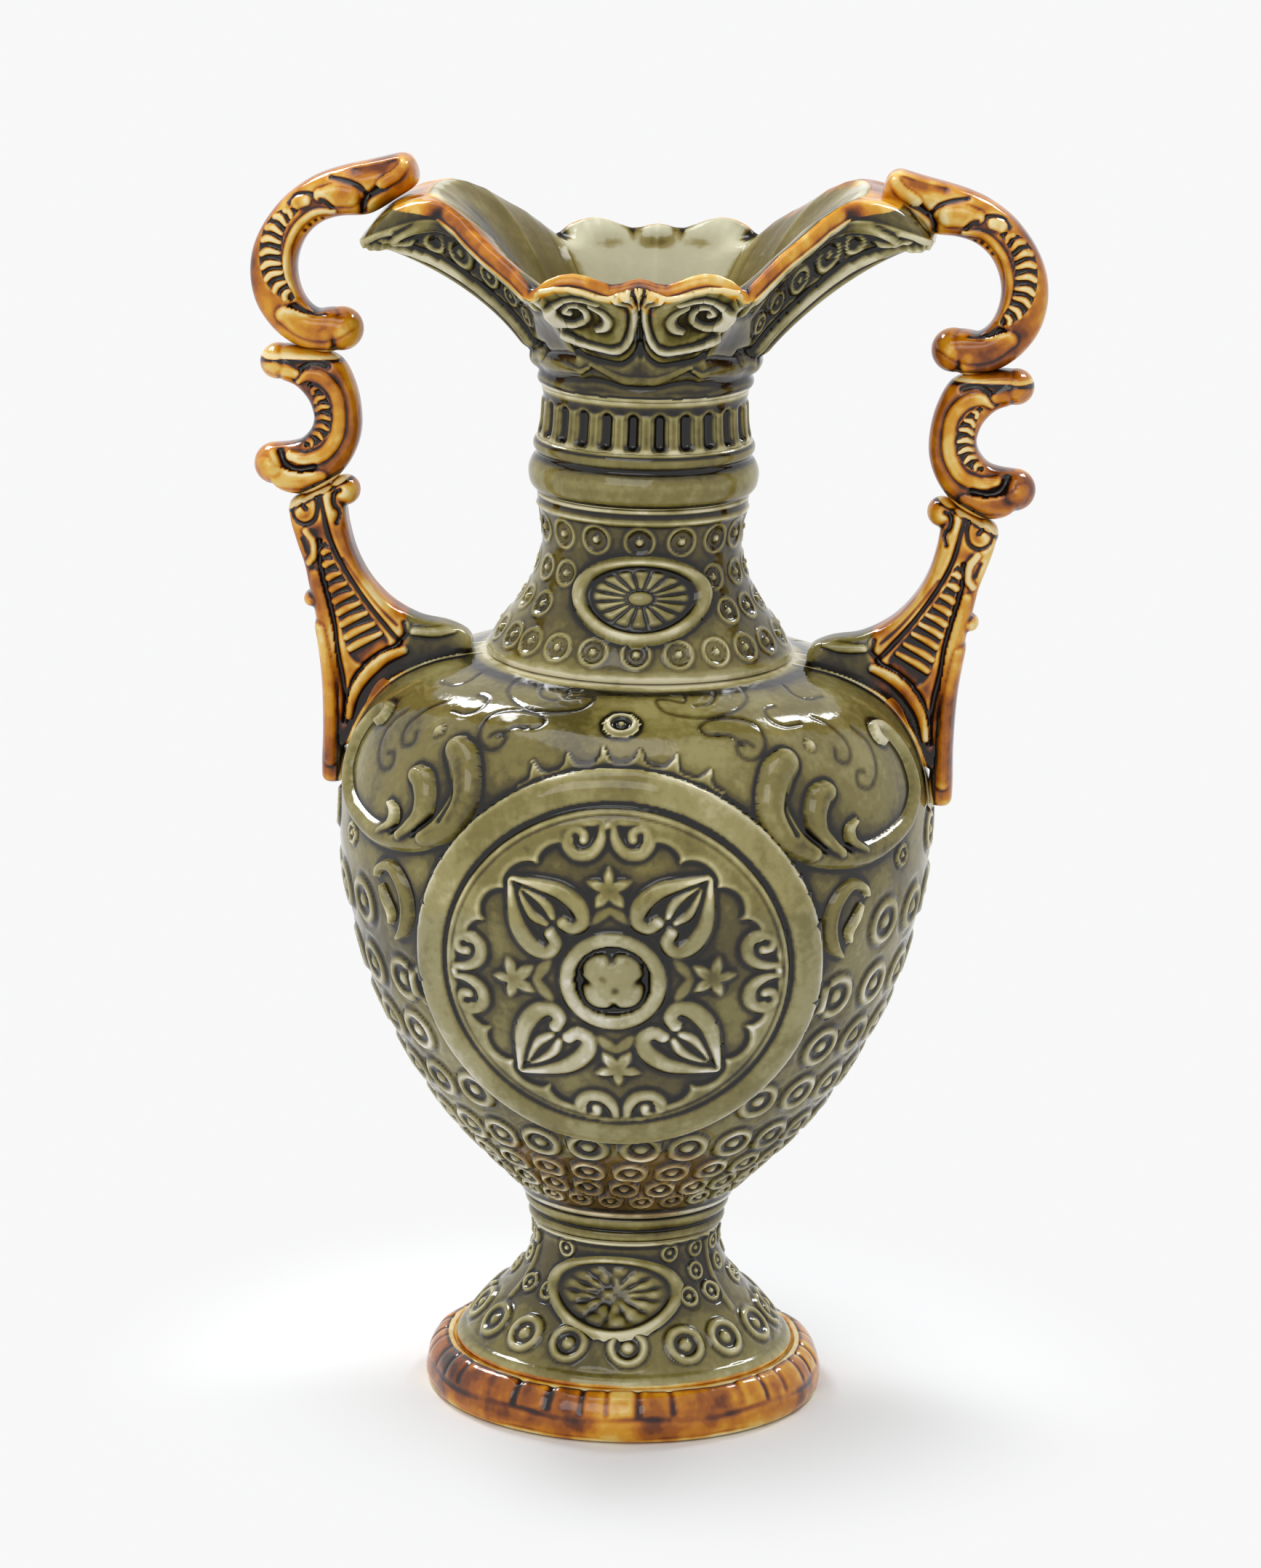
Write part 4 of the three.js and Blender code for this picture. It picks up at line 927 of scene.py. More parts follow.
FLUTED_LINE = flow([(31.5, 296.9), (31.2, 298.2), (30.7, 301), (30.45, 305), (30.4, 308.6), (30.8, 310.6),
                    (30.9, 311.9)], 0.45)
fluted = turned("fluted_collar_casting", [*FLUTED_LINE.tolist(), (27, 311.9), (27, 304), (27, 296.9)], 480)
points = points_of(fluted)
turn = (azimuth_of(points) + 2.5) / 15
beside = np.abs(turn - np.round(turn)) * math.radians(15) * 30.4
z = points[:, 2]
to_slot = np.hypot(beside, np.maximum(np.maximum(299.4 - z, z - 306.4), 0))
slot_depth = 1.5 * smooth((2.3 - to_slot) / 1.7)
between_slots = 0.5 * smooth((to_slot - 2.3) / 0.8) * smooth((308.6 - z) / 1.5)
push(fluted, np.where(from_axis(points) > 29, between_slots - slot_depth, 0))
dress(fluted, green_glaze, ["fluted_collar"])

COLLAR_LINE = flow([(28.9, 53.3), (29.7, 53.9), (30.1, 55.2), (29.8, 56.4), (29.1, 57.1), (30.2, 58),
                    (31.1, 59.3), (31.2, 60.6), (30.5, 61.7), (30.2, 62.1)], 0.4)
collar = turned("stem_collar_casting", [*COLLAR_LINE.tolist(), (23.7, 62.1), (23.7, 57), (23.7, 53.3)], 280)
points = points_of(collar)
z = points[:, 2]
laid = (from_axis(points) > 28.5) * (2.0 * smooth((54.0 - z) / 0.7) + 3 * smooth((z - 61.2) / 0.8))
dress(collar, green_glaze, ["stem_collar"], overlaid=laid, pool=0.12)

# %% Neck cartouches
def cartouches(kind, radius, u_range, v_range, step, height):
    for face in ("front", "back"):
        node = f"{kind}_cartouche_{face}"
        piece = applied(node, face, seen_squarely(radius), u_range, v_range, step, height, sink=0.5)
        dress(piece, green_glaze, [node])


cartouches("neck", neck_radius, (-19.4, 23.8), (240.6, 266.6), (0.32, 0.3), neck_oval_height)

# %% [markdown]
# ## Pedestal and foot ring
# The domed foot repeats the neck's ornament on a smaller scale, and its oval has lost most of its
# petals to worn moulds and thick glaze. Below it an amber ring, nearly round, carries a chamfer cut
# into blocks. It is the part that a kiln shelf has bent and rubbed, so it gets some unevenness.

# %% Pedestal
PEDESTAL_LINE = flow([(51.5, 13.5), (51.7, 15.0), (50.9, 16.6), (49.2, 18.4), (47.2, 20.8), (44.2, 24.4),
                      (40.5, 28.4), (36, 32.6), (32.7, 36.6), (30.4, 40.6), (28.9, 44.6), (28.3, 48),
                      (28.4, 50.6), (28.9, 53.0)],
                      0.6)
pedestal_radius, pedestal_arc = wall(PEDESTAL_LINE)
PEDESTAL_RINGS = [
    (49.2, 3.0, [-90, -68, -35, 32, 52, 72, 90]),
    (36.0, 3.4, [-88, -56, -40, 40, 56, 88]),
    (42.4, 3.0, [-74, 50, 74]),
    (24.9, 6.3, [-82, -60, -39.5, -18.4, 5.6, 29.4, 49, 71, 90]),
]


def pedestal_height(azimuth, z):
    height = ringed(azimuth, z, PEDESTAL_RINGS, pedestal_radius, pedestal_arc, ring_and_dot, 1.05, 0.8)
    beside = np.radians(np.abs(azimuth) - 63) * pedestal_radius(z)
    height += 0.8 * bell(beside, 1.1) * smooth((z - 29) / 3)
    height -= 0.5 * bell(z - 18.6, 0.6)
    return height


FOOT_OVAL = {"centre": (-1.2, 37.6), "half_w": 20.3, "half_h": 10.7}


def foot_oval_height(x, z):
    dx, dz = x - FOOT_OVAL["centre"][0], z - FOOT_OVAL["centre"][1]
    q = oval(x, z, **FOOT_OVAL)
    line = 0.5 + 0.8 * dome(q - 0.91, 0.09) * (1 - 0.6 * bell(np.sin(np.arctan2(dz, dx)), 0.12))
    round_oval = np.arctan2(dz / FOOT_OVAL["half_h"], dx / FOOT_OVAL["half_w"])
    worn = 0.55 * np.abs(np.cos(round_oval * 6.5)) * smooth((0.8 - q) / 0.2) * smooth((q - 0.15) / 0.25)
    worn += 0.5 * bell(q, 0.2) + 0.25 * np.sin(x * 0.9 + 1) * np.sin(z * 1.3) * smooth((0.8 - q) / 0.3)
    return np.where(q > 1.0, 0.5 - (q - 1.0) * 16, np.maximum(line, 0.5 + worn * 0.8))


PEDESTAL_INSIDE = [(23.8, 53.0), (24, 43), (30, 33), (40, 22), (46, 13.5)]
pedestal, z, outside, laid = ornamented("pedestal_casting", PEDESTAL_LINE, PEDESTAL_INSIDE, 440,
                                        pedestal_radius, pedestal_height, foot_oval_height)
laid += np.where(outside, 3 * smooth((z - 51.9) / 1.0) + 2 * smooth((14.4 - z) / 0.7), 0)
dress(pedestal, green_glaze, ["pedestal"], 0.75 * smooth((16.4 - z) / 1.2), laid)
cartouches("foot", pedestal_radius, (-22.4, 20.0), (26, 49.4), (0.32, 0.28), foot_oval_height)

# %% Foot ring
FOOT_LINE = flow([(57.5, 0.0), (59.4, 0.5), (60.7, 1.9), (61.1, 3.9), (61.0, 6), (60.6, 8.0), (60.1, 9.6),
                  (59.2, 11.4), (57.8, 13.2), (56.2, 14.5), (54.6, 15.1), (53.2, 14.9), (52.2, 13.9)], 0.5)
foot = turned("foot_ring_casting", [(52, 0.0), *FOOT_LINE.tolist(), (51.4, 13.2), (46, 13.2), (46, 4.0),
                                    (49, 3.0)], 560)
points = points_of(foot)
r, z = from_axis(points), points[:, 2]
azimuth = azimuth_of(points)
a = np.radians(azimuth)
turn = azimuth / 10 + 0.16 * np.sin(a * 5) + 0.1 * np.sin(a * 13 + 1)
beside = np.abs(turn - np.round(turn)) * 10
chamfer = smooth((z - 7.6) / 2.2) * (r > 53.6)
strength = 0.5 + 0.5 * np.sin(a * 7 + 0.8) * np.sin(a * 3)
own = -0.6 * smooth((2.1 - beside) / 2.1) * chamfer * strength
own -= 0.25 * bell(z - 7.6 - 0.6 * np.sin(a * 9), 0.9) * (r > 53.6) * (0.6 + 0.4 * np.sin(a * 11))
wobble = 0.35 * np.sin(a * 7 + 1) + 0.25 * np.sin(a * 17) - 0.6
own += np.where((z > 1.2) & (r > 53), wobble * 0.6, 0)
push(foot, np.minimum(own, 0))
dress(foot, amber_glaze, ["foot_ring"], amber=np.ones(len(points)),
      overlaid=np.where((r < 54) & (z > 12), 1.2, 0), fine=1.2)

# %% [markdown]
# ## The mouth
# The mouth starts round and opens into four lobes. The front and back lobes are low, with a dip in the
# middle, and the side ones rise into spouts that end in a beak under each handle. Its section changes
# all the way round, so it is a grid: one way round the vase, the other way up the outside, over the
# lip and down the inside.

# %% The rim, and the mouth's section
MOUTH_Z, MOUTH_FOOT_R, MOUTH_WALL = 312.2, 31.4, 4.5
BEAK_X, BEAK_DROP, LIP_T = 84.1, 14.4, 4.0
LIP_FROM, LIP_TO = 0.66, 0.8
RIM = np.array([(0, 53.2, 352.2), (2.8, 53.6, 351.8), (5.6, 54.4, 350.9), (8.5, 55.2, 350.6),
                (12.2, 56.0, 351.7), (16, 57.0, 353.1), (19.7, 58.0, 353.8), (23.5, 59.0, 353.3),
                (27.2, 60.2, 351.6), (29.6, 61.0, 349.4), (31.2, 61.1, 348.8), (33.4, 60.8, 350.4),
                (37.5, 60.6, 353.4), (44, 60.7, 357.4), (50, 60.9, 360.4), (60, 62.4, 366.0),
                (66, 64.4, 368.6), (70, 66.2, 370.0), (76, 67.2, 370.8), (82, 67.0, 371.1),
                (90, 66.5, 371.2)])
WALL_RIM = np.array([(0, 56.4, 352.0), (26, 58.6, 352.0), (34, 60.0, 352.4), (40, 60.6, 355),
                     (50, 60.9, 360.4), (60, 62.4, 366.0), (70, 66.2, 370), (90, 66.5, 371.2)])
LOBE_TURN = 1.2


def from_lobe(azimuth):
    """Degrees from the middle of the lobes, which sit a little to the right of the face's middle."""
    return np.abs(azimuth - LOBE_TURN * smooth((48 - np.abs(azimuth)) / 12))


def rim_at(azimuth):
    """Radius and height of the rim, for degrees from the nearer face."""
    a = np.abs(azimuth)
    return np.interp(a, RIM[:, 0], RIM[:, 1]), np.interp(a, RIM[:, 0], RIM[:, 2])


def flare(share, r0, z0, r1, z1):
    a, b, c = 3 * share * (1 - share) ** 2, 3 * share**2 * (1 - share), share**3
    return r0 + (r1 - r0) * (0.05 * a + 0.55 * b + c), z0 + (z1 - z0) * (0.34 * a + 0.86 * b + c)


def beak_share(azimuth):
    return smooth((np.abs(azimuth) - 66) / 15)


def mouth_outside(azimuth, share):
    """Radius and height on the mouth's outer wall, from its foot at 0 to its edge at 1."""
    rim, rim_z = rim_at(azimuth)
    beak = beak_share(azimuth)
    sine = np.sin(np.radians(np.maximum(np.abs(azimuth), 60)))
    tip = rim + 0.5 + BEAK_X / sine * beak - (rim + 0.5) * beak
    tip_z = rim_z - LIP_T - (BEAK_DROP - LIP_T) * beak
    return flare(share, MOUTH_FOOT_R, MOUTH_Z, tip, tip_z - 0.6)


def mouth_section(azimuth, v):
    """The closed section: v goes up the outside to LIP_FROM, over the lip to LIP_TO, and down the inside."""
    rim, rim_z = rim_at(azimuth)
    beak = beak_share(azimuth)
    out_r, out_z = mouth_outside(azimuth, np.clip(v / LIP_FROM, 0, 1))
    tip_r, tip_z = mouth_outside(azimuth, np.ones(len(v)))
    lip = np.clip((v - LIP_FROM) / 0.14, 0, 1)
    bulge = np.sin(np.pi * lip)
    round_z = np.sin(np.pi / 2 * np.clip(lip * 1.45, 0, 1))
    inward = smooth(lip) * (1 - 0.7 * beak) + lip * 0.7 * beak
    upward = round_z * (1 - 0.55 * beak) + lip * 0.55 * beak
    lip_r = tip_r + (rim - 3.4 - tip_r) * inward + bulge * (0.8 + 0.3 * beak)
    lip_z = tip_z + (rim_z - 0.6 - tip_z) * upward + bulge * (0.6 + 0.3 * beak)
    down = np.clip((v - LIP_TO) / 0.2, 0, 1)
    plain = smooth(down / 0.22)
    top_r = rim + (np.interp(azimuth, WALL_RIM[:, 0], WALL_RIM[:, 1]) - rim) * plain
    top_z = rim_z + (np.interp(azimuth, WALL_RIM[:, 0], WALL_RIM[:, 2]) - rim_z) * plain
    in_r, in_z = flare(1 - down, MOUTH_FOOT_R - MOUTH_WALL, MOUTH_Z, top_r - 3.4, top_z - 0.6)
    r = np.where(v < LIP_FROM, out_r, np.where(v < LIP_TO, lip_r, in_r))
    z = np.where(v < LIP_FROM, out_z, np.where(v < LIP_TO, lip_z, in_z))
    return r, z


def mouth_place(u, v):
    quarter = np.clip(np.floor(u * 4), 0, 3)
    along, falling = u * 4 - quarter, quarter % 2 == 1
    from_face = np.interp(np.where(falling, 1 - along, along), (0, 0.22, 1), (0, 29, 90))
    azimuth = np.where(falling, (quarter - 1) * 90 - from_face, (quarter - 2) * 90 + from_face)
    r, z = mouth_section(from_lobe(nearer_face(azimuth)), v)
    return on_wall(azimuth, r, z)


# %% Marks on the mouth, and on its scrolls
LIP_UNIT, FLARE_LENGTH = math.radians(1) * 46, 46.0


def on_mouth(rows):
    """Marks given as degrees from the middle of a face and a share of the way up the wall."""
    return [(a * LIP_UNIT, share * FLARE_LENGTH, *rest) for a, share, *rest in rows]


def mouth_height(azimuth, share):
    """Marks round the foot of the mouth and under the lobes, for degrees from the middle of the lobes."""
    u, v = np.abs(azimuth) * LIP_UNIT, share * FLARE_LENGTH
    height = 0.5 * bell(share - 0.035, 0.03)
    draw(height, u, v, [
        (0.7, 1.1, [(-2, 0.105), (8, 0.12), (20, 0.145), (30, 0.155), (38, 0.13), (48, 0.1), (60, 0.085),
                    (92, 0.08)]),
        (0.5, [(26, 0.25, 0.8), (36, 0.22, 1.6), (50, 0.175, 1.8), (64, 0.155, 1.8), (92, 0.15, 1.8)]),
        (0.9, 1.3, [(29, 0.385), (35, 0.33), (42, 0.28), (50, 0.24), (62, 0.21), (76, 0.2), (92, 0.2)]),
        (0.35, [(-2, 0.17, 1.6), (6, 0.18, 1.6), (13, 0.2, 1.5), (20, 0.235, 1.2), (25, 0.27, 0.7)]),
        (1.3, 0.9, [(0, 0.36), (0, 0.6), (0, 0.8)]),
        (1.0, 1.1, [(0.4, 0.44), (2, 0.38), (5, 0.335), (10, 0.3), (16, 0.29), (22, 0.3), (27, 0.345),
                    (30.4, 0.43), (31.4, 0.6), (31.6, 0.8), (31.4, 1.02)]),
    ], spots=on_mouth)
    return height * smooth(share / 0.02)


def spout_height(x, z):
    """The side of a spout as the front view shows it: bands along the rim, rings in a sunk panel, a hook."""
    a = np.linspace(31, 90, 240)
    edge_r, edge_z = mouth_outside(a, np.ones(240))
    low_r, low_z = mouth_outside(np.full(200, 90.0), np.linspace(0.1, 1, 200))
    rim_line, low_line = np.interp(x, edge_r * np.sin(np.radians(a)), edge_z), np.interp(x, low_r, low_z)
    down = np.clip((rim_line - z) / np.maximum(rim_line - low_line, 1), 0, 1) * 16.5
    in_panel = smooth((down - 3.2) / 0.9) * smooth((10.4 - down) / 0.9)
    height = -0.55 * in_panel * smooth((x - 31) / 3) * smooth((72 - x) / 3)
    draw(height, x, down, [
        (1.5, [(29, 1.2, 1.8), (46, 1.3, 2.0), (60, 1.4, 2.1), (68, 2.2, 2.0), (72, 3.8, 1.8),
               (73.4, 6.2, 1.6), (71.4, 8.2, 1.3), (68.4, 7.6, 0.9)]),
        (1.0, [(74, 1.0, 0.8), (79, 1.2, 1.1), (83, 1.6, 1.4)]),
        (0.9, 0.7, [(29, 3.5), (46, 3.6), (60, 3.7), (67, 5.4)]),
        (1.7, 1.6, [(75.4, 3.2), (77.8, 5.0), (79.4, 7.6), (78.6, 10), (75, 10.2)]),
        (1.3, 1.0, [(29, 11.4), (46, 11.4), (62, 11), (74, 10.4), (81, 9.4)]),
        (0.9, [(30, 13.2, 1.2), (46, 13.2, 1.3), (62, 13, 1.4), (76, 12.8, 1.6), (82, 12, 1.8)]),
        (0.6, 0.5, [(31, 15), (50, 15), (70, 15)]),
    ])
    gap = np.hypot(x - 61.6, down - 6.8)
    height += np.where(gap < 4.6, 0.7 * bell(gap / 3.0 - 0.85, 0.2) - 1.1 * bell(gap, 1.3), 0)
    for along, level, radius in ((54.2, 6.4, 3.9), (45.8, 6.9, 3.0), (39.4, 7.4, 2.3), (34.6, 7.8, 1.8)):
        gap = np.hypot(x - along, down - level)
        height = np.where(gap < radius * 1.5, height + ring_and_dot(gap, radius, 0.75), height)
    return height


def lip_scroll_height(azimuth, share):
    """One lobe's scroll: a soft pad with a rolled edge, a spiral and a forked tongue, and half of the fan."""
    u, v = azimuth * LIP_UNIT, share * FLARE_LENGTH
    low = -0.8
    q = np.abs((azimuth - 16.4) / 15.8) ** 2.4 + np.abs((share - 0.74) / 0.4) ** 2.4
    height = np.clip(low + 3.4 * (1 - q), low, 1.3)
    draw(height, u, v, [
        (2.6, [(4.6, 1.02, 1.4), (3.2, 0.9, 1.6), (2.6, 0.78, 1.8), (3.2, 0.62, 2.0), (5.4, 0.5, 2.2),
               (10, 0.43, 2.3), (16, 0.41, 2.2), (22, 0.42, 2.0), (27, 0.47, 1.7), (30.4, 0.56, 1.3)]),
        (3.3, [(12, 0.95, 1.1), (18, 0.92, 1.6), (24, 0.89, 1.9), (29, 0.81, 2.1), (28.8, 0.69, 2.1),
               (24.4, 0.62, 2.0), (19.4, 0.66, 1.9), (18.4, 0.76, 1.7), (21.8, 0.82, 1.5),
               (25.4, 0.78, 1.4), (24.2, 0.735, 1.4)]),
        (3.2, [(15.4, 0.84, 1.4), (12.0, 0.8, 2.3), (10.8, 0.71, 2.4), (12.8, 0.62, 1.9),
               (16.4, 0.57, 1.2)]),
        (2.4, [(-0.2, 1.03, 1.0), (0, 0.93, 0.9), (0.3, 0.8, 0.4)]),
        (2.4, [(3.6, 1.03, 1.0), (2.3, 0.93, 0.8), (1.2, 0.82, 0.3)]),
        (2.4, [(6.8, 1.03, 1.0), (4.9, 0.93, 0.8), (3.0, 0.85, 0.3)]),
    ], base=low, spots=on_mouth)
    for top, foot in ((1.8, 0.8), (5.2, 2.6)):
        scratch(height, u, v, on_mouth([(top, 1.03), (foot, 0.86)]), 0.9, 0.45)
    return height


# %% Making the mouth
def lifted(points):
    """The mouth warped in the kiln: the right spout stands a few millimetres higher than the left one."""
    result = points.copy()
    lean = 0.032 * points[:, 0] + 0.008 * np.abs(points[:, 0])
    result[:, 2] += lean * smooth((points[:, 2] - 328) / 30)
    return result


bm = shaped_grid(560, 172, mouth_place)
bmesh.ops.bridge_loops(bm, edges=[e for e in bm.edges if e.is_boundary])
bmesh.ops.recalc_face_normals(bm, faces=bm.faces)
mouth = piece_from("mouth_casting", bm)
points = points_of(mouth)
face_azimuth = from_lobe(nearer_face(azimuth_of(points)))
rim, rim_z = rim_at(face_azimuth)
r = from_axis(points)
SECTION_STEPS = 80
steps = np.linspace(0, 1, SECTION_STEPS)
foot_to_tip = np.array([mouth_outside(face_azimuth, np.full(len(points), t)) for t in steps])
gaps = np.hypot(foot_to_tip[:, 0, :] - r, foot_to_tip[:, 1, :] - points[:, 2])
closest, each = gaps.argmin(0), np.arange(len(points))
before, after = np.maximum(closest - 1, 0), np.minimum(closest + 1, SECTION_STEPS - 1)
ahead = foot_to_tip[after, :, each] - foot_to_tip[before, :, each]
offset = np.column_stack([r, points[:, 2]]) - foot_to_tip[closest, :, each]
past_closest = (offset * ahead).sum(1) / (ahead**2).sum(1) * (steps[after] - steps[before])
share = np.clip(steps[closest] + past_closest, 0, 1)
outside = gaps.min(0) < 0.7
on_spout = smooth((face_azimuth - 31.5) / 2) * smooth((share - 0.12) / 0.1)
marks = mouth_height(face_azimuth, share) + spout_height(np.abs(points[:, 0]), points[:, 2]) * on_spout
own = np.where(outside, marks * smooth((1.03 - share) / 0.05), 0)
beak = beak_share(face_azimuth)
from_tip = (1 - share) * (FLARE_LENGTH + 26 * beak)
own += np.where(outside, 1.5 * beak * dome(from_tip - 2.8, 3.2) ** 0.7, 0)
push(mouth, own)
below = rim_z - points[:, 2]
on_edge = smooth((4.7 - below) / 1.4) * (r > rim - 1.9)
on_beak = beak * (r > rim - 1) * smooth((5.6 - below) / 2.5)
inside_lip = (r < rim - 1.6) & ~outside
streaks = smooth((6.5 - below) / 5) * inside_lip * smooth((face_azimuth - 34) / 5)
streaks = streaks * (0.2 + 0.3 * smooth(points[:, 0] * points[:, 1] / 900))
amber = np.clip(np.maximum(np.maximum(on_edge, on_beak), streaks), 0, 1)
in_scroll = (face_azimuth < 34) & outside
laid = np.where(in_scroll, np.maximum(lip_scroll_height(face_azimuth, share), 0), 0)
laid += np.where((r > 30) & (points[:, 2] < 313.2), 2.0, 0)
olive = 0.12 * smooth((32 - face_azimuth) / 8) - 0.3 * smooth((face_azimuth - 28) / 12)
olive -= 0.2 * smooth((face_azimuth - 76) / 8) * smooth((below - 4) / 6)
dress(mouth, mouth_glaze, ["mouth"], amber=amber, overlaid=laid,
      pool=np.where(outside, -0.06, olive))
place_points(mouth, lifted(points_of(mouth)))
mouth.data.materials.append(green_glaze)
corners = np.empty(len(mouth.data.loops), np.int32)
mouth.data.loops.foreach_get("vertex_index", corners)
first = np.empty(len(mouth.data.polygons), np.int32)
mouth.data.polygons.foreach_get("loop_start", first)
outer_side = outside | (r > rim - 0.9)
mouth.data.polygons.foreach_set("material_index", outer_side[corners[first]].astype(np.int32))

# %% [markdown]
# ## Scrolls on the front and back lobes
# Two broad C-scrolls face each other under the lip, with a small fan between them. They are drawn in
# degrees round the lobe and in shares of the way up the flare.

# %% Lip scrolls
LOBE_SPAN = 31.6


def on_flare(azimuth, share):
    """A place on the mouth's outer wall, from degrees off the lobes' middle and a share of its height."""
    r, z = mouth_outside(np.clip(np.abs(azimuth), 0, 31.4), np.clip(share, 0, 1.06))
    return on_wall(azimuth + LOBE_TURN, r, z)


for face in ("front", "back"):
    for side, sign in (("right", 1), ("left", -1)):
        node = f"lip_scroll_{face}_{side}"
        span = (0.1, LOBE_SPAN) if sign > 0 else (-LOBE_SPAN, -0.1)
        drawn = (lambda azimuth, share, h=sign: lip_scroll_height(azimuth * h, share))
        scroll = applied(node, face, on_flare, span, (0.28, 1.05), (0.32, 0.007), drawn)
        points = points_of(scroll)
        round_lobe = from_lobe(nearer_face(azimuth_of(points)))
        near_rim = rim_at(round_lobe)[1] - points[:, 2]
        fan = 0.42 * smooth((7 - round_lobe) / 1.5) * smooth((12 - near_rim) / 2)
        amber = np.maximum(0.9 * smooth((6.2 - near_rim) / 2), fan)
        # The scrolls under the rim are given painted bluish shade at half strength.
        dress(scroll, green_glaze, [node], amber=amber, bluish_shade=0.5, pool=0.05, fine=1.3,
              broad=3.6)
        place_points(scroll, lifted(points_of(scroll)))

# %% [markdown]
# ## Handles
# Each handle is three castings end to end: a big C-scroll with a leaf tip, a smaller one that faces the
# other way, and a bracket that flares onto the shoulder. A scroll is a grid bent into a tube that
# follows pairs of points, one on each of its two edges. Its faces have a sunk panel with ribs like a
# ladder. Balls and curls are added as separate closed shapes, and a voxel remesh fuses them all, as
# the slip and the glaze do on the real handle.

# %% A scroll through pairs of points
def scroll_tube(bm, pairs, thickness, square=0.72):
    """Adds a closed tube to bm. Each pair is (x, z) of one edge, then (x, z) of the other."""
    line = flow(pairs, 0.7)
    count = len(line)

    def place(u, v):
        theta = 2 * np.pi * u
        at = v * (count - 1)
        row = np.column_stack([np.interp(at, np.arange(count), line[:, k]) for k in range(4)])
        middle, half = (row[:, :2] + row[:, 2:]) / 2, (row[:, :2] - row[:, 2:]) / 2
        end = np.clip(np.minimum(at, count - 1 - at) / 4.0, 0, 1)
        close = np.sqrt(1 - (1 - end) ** 2)
        cos, sin = np.cos(theta), np.sin(theta)
        a = np.sign(cos) * np.abs(cos) ** square * close
        y = thickness / 2 * np.sign(sin) * np.abs(sin) ** square * close
        return np.column_stack([middle[:, 0] + half[:, 0] * a, y, middle[:, 1] + half[:, 1] * a])

    tube = shaped_grid(64, count - 1, place)
    scrap = bpy.data.meshes.new("tube")
    tube.to_mesh(scrap)
    tube.free()
    bm.from_mesh(scrap)
    bpy.data.meshes.remove(scrap)


def ball(bm, x, z, radius, half_thickness):
    """A squashed ball that ends a curl."""
    squash = Matrix.Diagonal((radius * MM, half_thickness * MM, radius * MM, 1))
    place = Matrix.Translation((x * MM, 0, z * MM))
    bmesh.ops.create_uvsphere(bm, u_segments=40, v_segments=24, radius=1, matrix=place @ squash)


def fused(name, bm, voxel=0.45, rounds=5):
    """One skin round everything in bm."""
    piece = piece_from(name + "_parts", bm)
    remesh = piece.modifiers.new("fuse", "REMESH")
    remesh.mode, remesh.voxel_size = "VOXEL", voxel * MM
    ease = piece.modifiers.new("ease", "SMOOTH")
    ease.factor, ease.iterations = 0.5, rounds
    mesh = bpy.data.meshes.new_from_object(piece.evaluated_get(bpy.context.evaluated_depsgraph_get()))
    bpy.data.objects.remove(piece)
    mesh.name = name
    mesh.shade_smooth()
    result = bpy.data.objects.new(name, mesh)
    bpy.context.scene.collection.objects.link(result)
    return result


# %% Upper scroll, middle scroll and lower bracket
def upper_scroll():
    bm = bmesh.new()
    scroll_tube(bm, [(71.6, 379.2, 68.6, 375.2), (74.6, 378.6, 68.8, 370), (81.6, 376.8, 74.8, 365.4),
                     (89.4, 374.9, 82.6, 360.6), (96, 372.8, 91.2, 359.6), (102, 369.8, 96.6, 357.8),
                     (108.4, 364.8, 100.8, 354.2), (114, 357.6, 103.4, 349.2), (117.6, 349.6, 104.4, 343.8),
                     (118.4, 341, 103.6, 338.4), (116.4, 332.6, 101.4, 333.8), (111.4, 325.4, 98.2, 331.2),
                     (105, 320.8, 95.4, 331.6), (98, 318.8, 92.6, 331.8), (92.4, 318.8, 89.8, 331)], 15.8)
    ball(bm, 91.0, 325.6, 6.6, 8.2)
    ball(bm, 95.4, 324.8, 6.4, 8.2)
    ball(bm, 108.6, 333.6, 3.0, 7.9)
    return bm


def middle_scroll():
    bm = bmesh.new()
    scroll_tube(bm, [(111, 320.2, 110, 310.2), (105, 320.4, 105.6, 308.8), (98.4, 319.6, 103, 307),
                     (91, 316.8, 100.6, 304), (86.8, 309.6, 99.4, 301.2), (84.8, 301, 98.9, 298.2),
                     (85, 293, 100, 294.9), (88, 285.4, 102.8, 291.9), (93.6, 279, 106.4, 290.8),
                     (100.6, 275.6, 109.8, 290.4), (107, 275.8, 112.6, 289.8),
                     (112, 278.8, 114.4, 288)], 14.8)
    ball(bm, 110, 315.2, 5.4, 7.9)
    ball(bm, 110.6, 284.2, 6.3, 8.2)
    return bm


def lower_bracket():
    bm = bmesh.new()
    scroll_tube(bm, [(106.2, 272.6, 92, 280.4), (105.4, 267, 89.6, 275), (103.4, 260.6, 88, 266),
                     (101.2, 254.4, 85.6, 258), (99.8, 248, 81.4, 250.4), (98, 240, 75, 243.8),
                     (96.2, 229, 66.4, 239.2), (95, 216, 57, 237.4), (94.6, 203, 51, 234),
                     (94.2, 193, 50, 227)], 13.8, square=0.45)
    scroll_tube(bm, [(98.4, 238, 94, 238), (96, 222, 90.4, 222), (95.2, 206, 89, 206), (95.4, 194, 88, 194),
                     (95.2, 186.6, 88, 187)], 13.8)
    ball(bm, 89.4, 276.8, 4.6, 7.1)
    ball(bm, 101.8, 270.6, 4.6, 7.3)
    ball(bm, 99, 243.4, 2.5, 6.4)
    return bm


# %% Marks on the faces of the handles, read in millimetres on the handle's own plane
LADDER_STEP = 0.4


